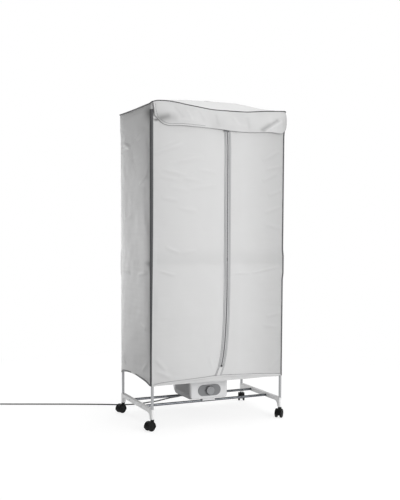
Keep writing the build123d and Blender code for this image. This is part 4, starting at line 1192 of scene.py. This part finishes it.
def top_rim():
    """The closed line round the top panel's edge, counterclockwise from the front's left end."""
    x = steps(-POST_X, POST_X, TRIM_CELL)
    y = steps(-POST_Y, POST_Y, TRIM_CELL)
    walls = (
        (x, 0 * x - SEAM_Y - 0.0004, top_front(x), (1, -1)),
        (0 * y + TOP_X + 0.002, y, top_edge(1, y) - SIDE_ROLL, (1, 1)),
        (x[::-1], 0 * x + SEAM_Y + 0.0004, top_rear(x[::-1]), (-1, 1)),
        (0 * y - TOP_X - 0.002, y[::-1], top_edge(-1, y[::-1]) - SIDE_ROLL, (-1, -1)),
    )
    line = []
    for x, y, z, (sx, sy) in walls:
        line.extend(zip(x, y, z))
        side_top = float(top_edge(sx, sy * POST_Y)) - SIDE_ROLL
        at_x, at_y, sideways = corner_plan(sx, sy, 0.0016, 0)
        corner = zip(at_x, at_y, sideways * side_top + (1 - sideways) * end_top(sx, sy))
        line.extend(list(corner)[2:-2])
    return np.array(line)


class DRYER_OT_piping(bpy.types.Operator):
    """Sew the tapes round the corners, the piping round the top and the bindings along the hems"""

    bl_idname = "dryer.piping"
    bl_label = "Tapes, piping and bindings"

    def execute(self, context):
        size = sizes()
        off, thick = CORNER_TAPE
        front = [corner_sheet(sx, -1, off, off, thick, TAPE_TOP, bare) for sx, bare in TAPE_BARE]
        sewn("front_corner_tapes", front, "corner_grosgrain", "piping_fabric", "cover_piping")
        corners = [(sx, sy) for sx in (-1, 1) for sy in (-1, 1)]
        plain = [corner_sheet(sx, sy, STRIP_OFF, STRIP_BEYOND, size.cloth) for sx, sy in corners]
        sewn("corner_strips", plain, "coated_polyester", "piping_fabric", sharp=70)
        rim = cord_shape(top_rim(), size.piping, (0, 0, 1), 12, loop=True)
        sewn("top_piping", [rim], "dyed_grosgrain", "piping_fabric")

        rows = np.linspace(0, 1, 4)[:, None]
        sides = []
        off, thick = SIDE_BINDING
        for hand in (-1, 1):
            y = hand * steps(-POST_Y, POST_Y, TRIM_CELL)
            z = hem_side(y) - BINDING_BELOW + (size.hem + BINDING_BELOW) * rows
            x = hand * (SIDE + off + side_fullness(y))
            sides.append(strip(hugged(points_at(x, y, z)), thick))
        sewn("side_hem_bindings", sides, "hem_tape", "piping_fabric")

        hems, lines = [], []
        off, thick = END_BINDING
        stitches_off, stitches_up = HEM_STITCHES
        for hand, face in ((-1, FRONT), (1, BACK)):
            x = -hand * steps(-POST_X, POST_X, TRIM_CELL)
            low = hem_front(x)
            full = end_fullness(x) * (zip_share(x, low) if hand < 0 else 1)
            z = low - BINDING_BELOW + (END_HEM + BINDING_BELOW) * rows
            hems.append(strip(hugged(points_at(x, hand * (face + off + full), z)), thick))
            path = hugged(points_at(x, hand * (face + stitches_off + full), low + stitches_up))
            lines.append(cord_shape(path, size.stitch, (0, hand, 0), 6))
        sewn("end_hem_bindings", hems, "coated_polyester", "piping_fabric")
        sewn("hem_stitching", lines, "stitching_thread", "piping_fabric")
        return {"FINISHED"}


class DRYER_OT_zip(bpy.types.Operator):
    """Make the zip's tapes, its coil teeth, its end stop and the placket below it"""

    bl_idname = "dryer.zip"
    bl_label = "Zip"

    def execute(self, context):
        parts = []
        z = steps(0.2255, ZIP_TOP, 0.006)
        proud = FRONT + ZIP_PROUD
        for hand in (-1, 1):
            across = np.sort(np.linspace(TAPE_IN, TAPE_OUT, 6) * hand)
            x = zip_at(z)[:, None] + across[None, :]
            lift = TAPE_BULGE * np.sin((np.abs(across) - TAPE_IN) / (TAPE_OUT - TAPE_IN) * math.pi)
            parts.append(strip(points_at(x, -(proud + lift[None, :]), z[:, None]), TAPE_THICK))
        sewn("zip_tapes", parts, "zip_tape_polyester", "zip_nylon", "zip_chain")

        lines = []
        for away, radius in ((SEWN_AT, 0.0013), (TAPE_OUT, 0.0006)):
            for across in (-away, away):
                path = points_at(zip_at(z) + across, -proud - 0.0005, z)
                lines.append(cord_shape(path, radius, (0, -1, 0), 6))
        sewn("zip_stitching", lines, "stitching_thread", "zip_nylon")

        teeth = []
        for number in range(int((ZIP_TOP - ZIP_STOP) / TOOTH_PITCH)):
            height = ZIP_STOP + TOOTH_PITCH * number
            hand = 1 if number % 2 else -1
            centre = (float(zip_at(height)) + hand * 0.0006, -proud - 0.0002, height)
            teeth.append(block(centre, TOOTH_HALF))
        sewn("zip_teeth", teeth, "zip_coil_nylon", "zip_nylon")

        stop_x = float(zip_at(ZIP_STOP - 0.004))
        clamp = block((stop_x, -proud - 0.0008, ZIP_STOP - 0.005), STOP_HALF)
        sewn("zip_stop", [clamp], "painted_zinc", "slider_metal")
        z_low = steps(0.2215, ZIP_STOP - 0.011, 0.006)
        x = zip_at(z_low)[:, None] + np.linspace(-0.0085, 0.0085, 7)[None, :]
        sheet = strip(points_at(x, -proud - 0.0012, z_low[:, None]), 0.0012)
        sewn("zip_placket", [sheet], "coated_polyester", "cover_fabric")
        dress({"zip_slider": "painted_zinc"})
        return {"FINISHED"}


def flap_surface(x, down):
    """Points of the flap's outer face: x along it, and down from 0 at its seam to 1 at its hem."""
    head = top_front(x) - FLAP_UNDER
    z = head + (flap_hem(x) - head) * down
    drop = np.clip(down, 0, 1) * math.pi
    hang = FLAP_HANG * np.sin(drop * 0.62)
    tuck = FLAP_TUCK * ramp(x, -0.200, -0.300) * ramp(down, 0.35, 1) ** 1.3
    waves = sum(height * np.sin(x * number + phase) for height, number, phase in FLAP_WAVES) * down
    folds = sum(height * near_line(x, z, ends, width)[1] for height, _, *ends, width in FLAP_FOLDS)
    bulge = FLAP_BULGE * ramp(x, 0.262, 0.302) * np.sin(drop * 0.75)
    wrap = FLAP_WRAP * ramp(x, 0.318, FLAP_RIGHT) ** 2
    out = FLAP_LEAST + hang - tuck + waves + folds + bulge - wrap
    return points_at(x, HINGE_Y - np.maximum(out, FLAP_LEAST - wrap), z)


def on_flap(points):
    """Places on the flap for points given as x and z, joined by a smooth curve."""
    x, z = np.array(points, float).T
    length = np.concatenate([[0], np.cumsum(np.hypot(np.diff(x), np.diff(z)))])
    along = steps(0, length[-1], 0.004)
    x, z = (through(np.stack([length, line], axis=-1))(along) for line in (x, z))
    head = top_front(x) - FLAP_UNDER
    return flap_surface(x, (head - z) / (head - flap_hem(x)))


class DRYER_OT_flap(bpy.types.Operator):
    """Hang the flap over the top of the zip, sewn under the top's front edge"""

    bl_idname = "dryer.flap"
    bl_label = "Flap"

    def execute(self, context):
        end = FLAP_LEFT + 0.016
        x_all = np.concatenate([steps(FLAP_LEFT, end, 0.0008), steps(end, FLAP_RIGHT)[1:]])
        down = np.linspace(1, 0, 34)[:, None]
        x = x_all[None, :] + 0 * down
        grid = flap_surface(x, down + 0 * x)
        # painted shade: darker towards the hem and towards both ends, with faint random blots
        shade = 1 - 0.05 * down - 0.10 * np.abs(x / POST_X) ** 4 + 0.03 * clouds(grid, 0.07, 31.0)
        # painted highlights and shade along the flap's folds
        for _, tone, *ends, width in FLAP_FOLDS:
            shade = shade + tone * near_line(x, grid[..., 2], ends, width)[1]
        flap = cloth_piece("flap_cloth", grid, shade)
        edge, seam = (
            mesh_piece(name, [cord_shape(on_flap(line), sizes().edging, (0, -1, 0), 8)], finish("hem_tape"))
            for name, line in (("flap_edging", FLAP_HEM), ("flap_seam", FLAP_SEAM))
        )
        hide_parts("front_flap")
        end = (0, HINGE_Y, HINGE_Z - HINGE_SPREAD)
        for piece, slot in ((flap, "cover_fabric"), (edge, "piping_fabric"), (seam, "piping_fabric")):
            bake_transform(piece)
        return {"FINISHED"}


class DRYER_OT_heater(bpy.types.Operator):
    """Finish the heater's shells, dial, fan and element, and mark the timer's scale"""

    bl_idname = "dryer.heater"
    bl_label = "Heater"

    def execute(self, context):
        finishes = {
            "heater_front_cover": "pale_abs",
            "heater_rear_cover": "pale_abs",
            "heater_housing": "grey_abs",
            "control_panel": "dial_abs",
            "timer_knob": "knob_abs",
            "timer_switch": "dark_pbt",
            "fan_impeller": "dark_pbt",
            "outlet_grille": "dark_pbt",
            "fan_motor": "motor_steel",
            "heating_element": "fin_aluminium",
        }
        dress(finishes)
        dots = []
        for angle in map(math.radians, MARK_TURNS):
            x = KNOB.x + MARK_AT * math.sin(angle)
            z = KNOB.z + MARK_AT * math.cos(angle)
            ends = [(x, DIAL_FACE + 0.0004, z), (x, DIAL_FACE - 0.0008, z)]
            dots.append(cord_shape(ends, MARK_R, (0, 0, 1), 12))
        sewn("dial_marks", dots, "dark_pbt", "panel_plastic")
        return {"FINISHED"}


class DRYER_PT_panel(bpy.types.Panel):
    """Sizes, colours and pieces of the dryer"""

    bl_label = "Dryer"
    bl_idname = "DRYER_PT_panel"
    bl_space_type = "VIEW_3D"
    bl_region_type = "UI"
    bl_category = "Dryer"

    def draw(self, context):
        layout = self.layout
        for group in (context.scene.dryer_sizes, context.scene.dryer_colours):
            box = layout.box()
            for name in group.bl_rna.properties.keys():
                if name not in ("rna_type", "name"):
                    box.prop(group, name)
        for operator in OPERATORS:
            layout.operator(operator.bl_idname)


OPERATORS = (
    DRYER_OT_view,
    DRYER_OT_lead,
    DRYER_OT_stage,
    DRYER_OT_frame,
    DRYER_OT_front,
    DRYER_OT_walls,
    DRYER_OT_top,
    DRYER_OT_bottom,
    DRYER_OT_piping,
    DRYER_OT_zip,
    DRYER_OT_flap,
    DRYER_OT_heater,
)
CLASSES = (DryerSizes, DryerColours, *OPERATORS, DRYER_PT_panel)


def register():
    for each in CLASSES:
        bpy.utils.register_class(each)
    bpy.types.Scene.dryer_sizes = PointerProperty(type=DryerSizes)
    bpy.types.Scene.dryer_colours = PointerProperty(type=DryerColours)


def unregister():
    del bpy.types.Scene.dryer_colours
    del bpy.types.Scene.dryer_sizes
    for each in reversed(CLASSES):
        bpy.utils.unregister_class(each)


def main():
    register()
    for operator in OPERATORS:
        family, action = operator.bl_idname.split(".")
        getattr(getattr(bpy.ops, family), action)()


if __name__ == "__main__":
    main()
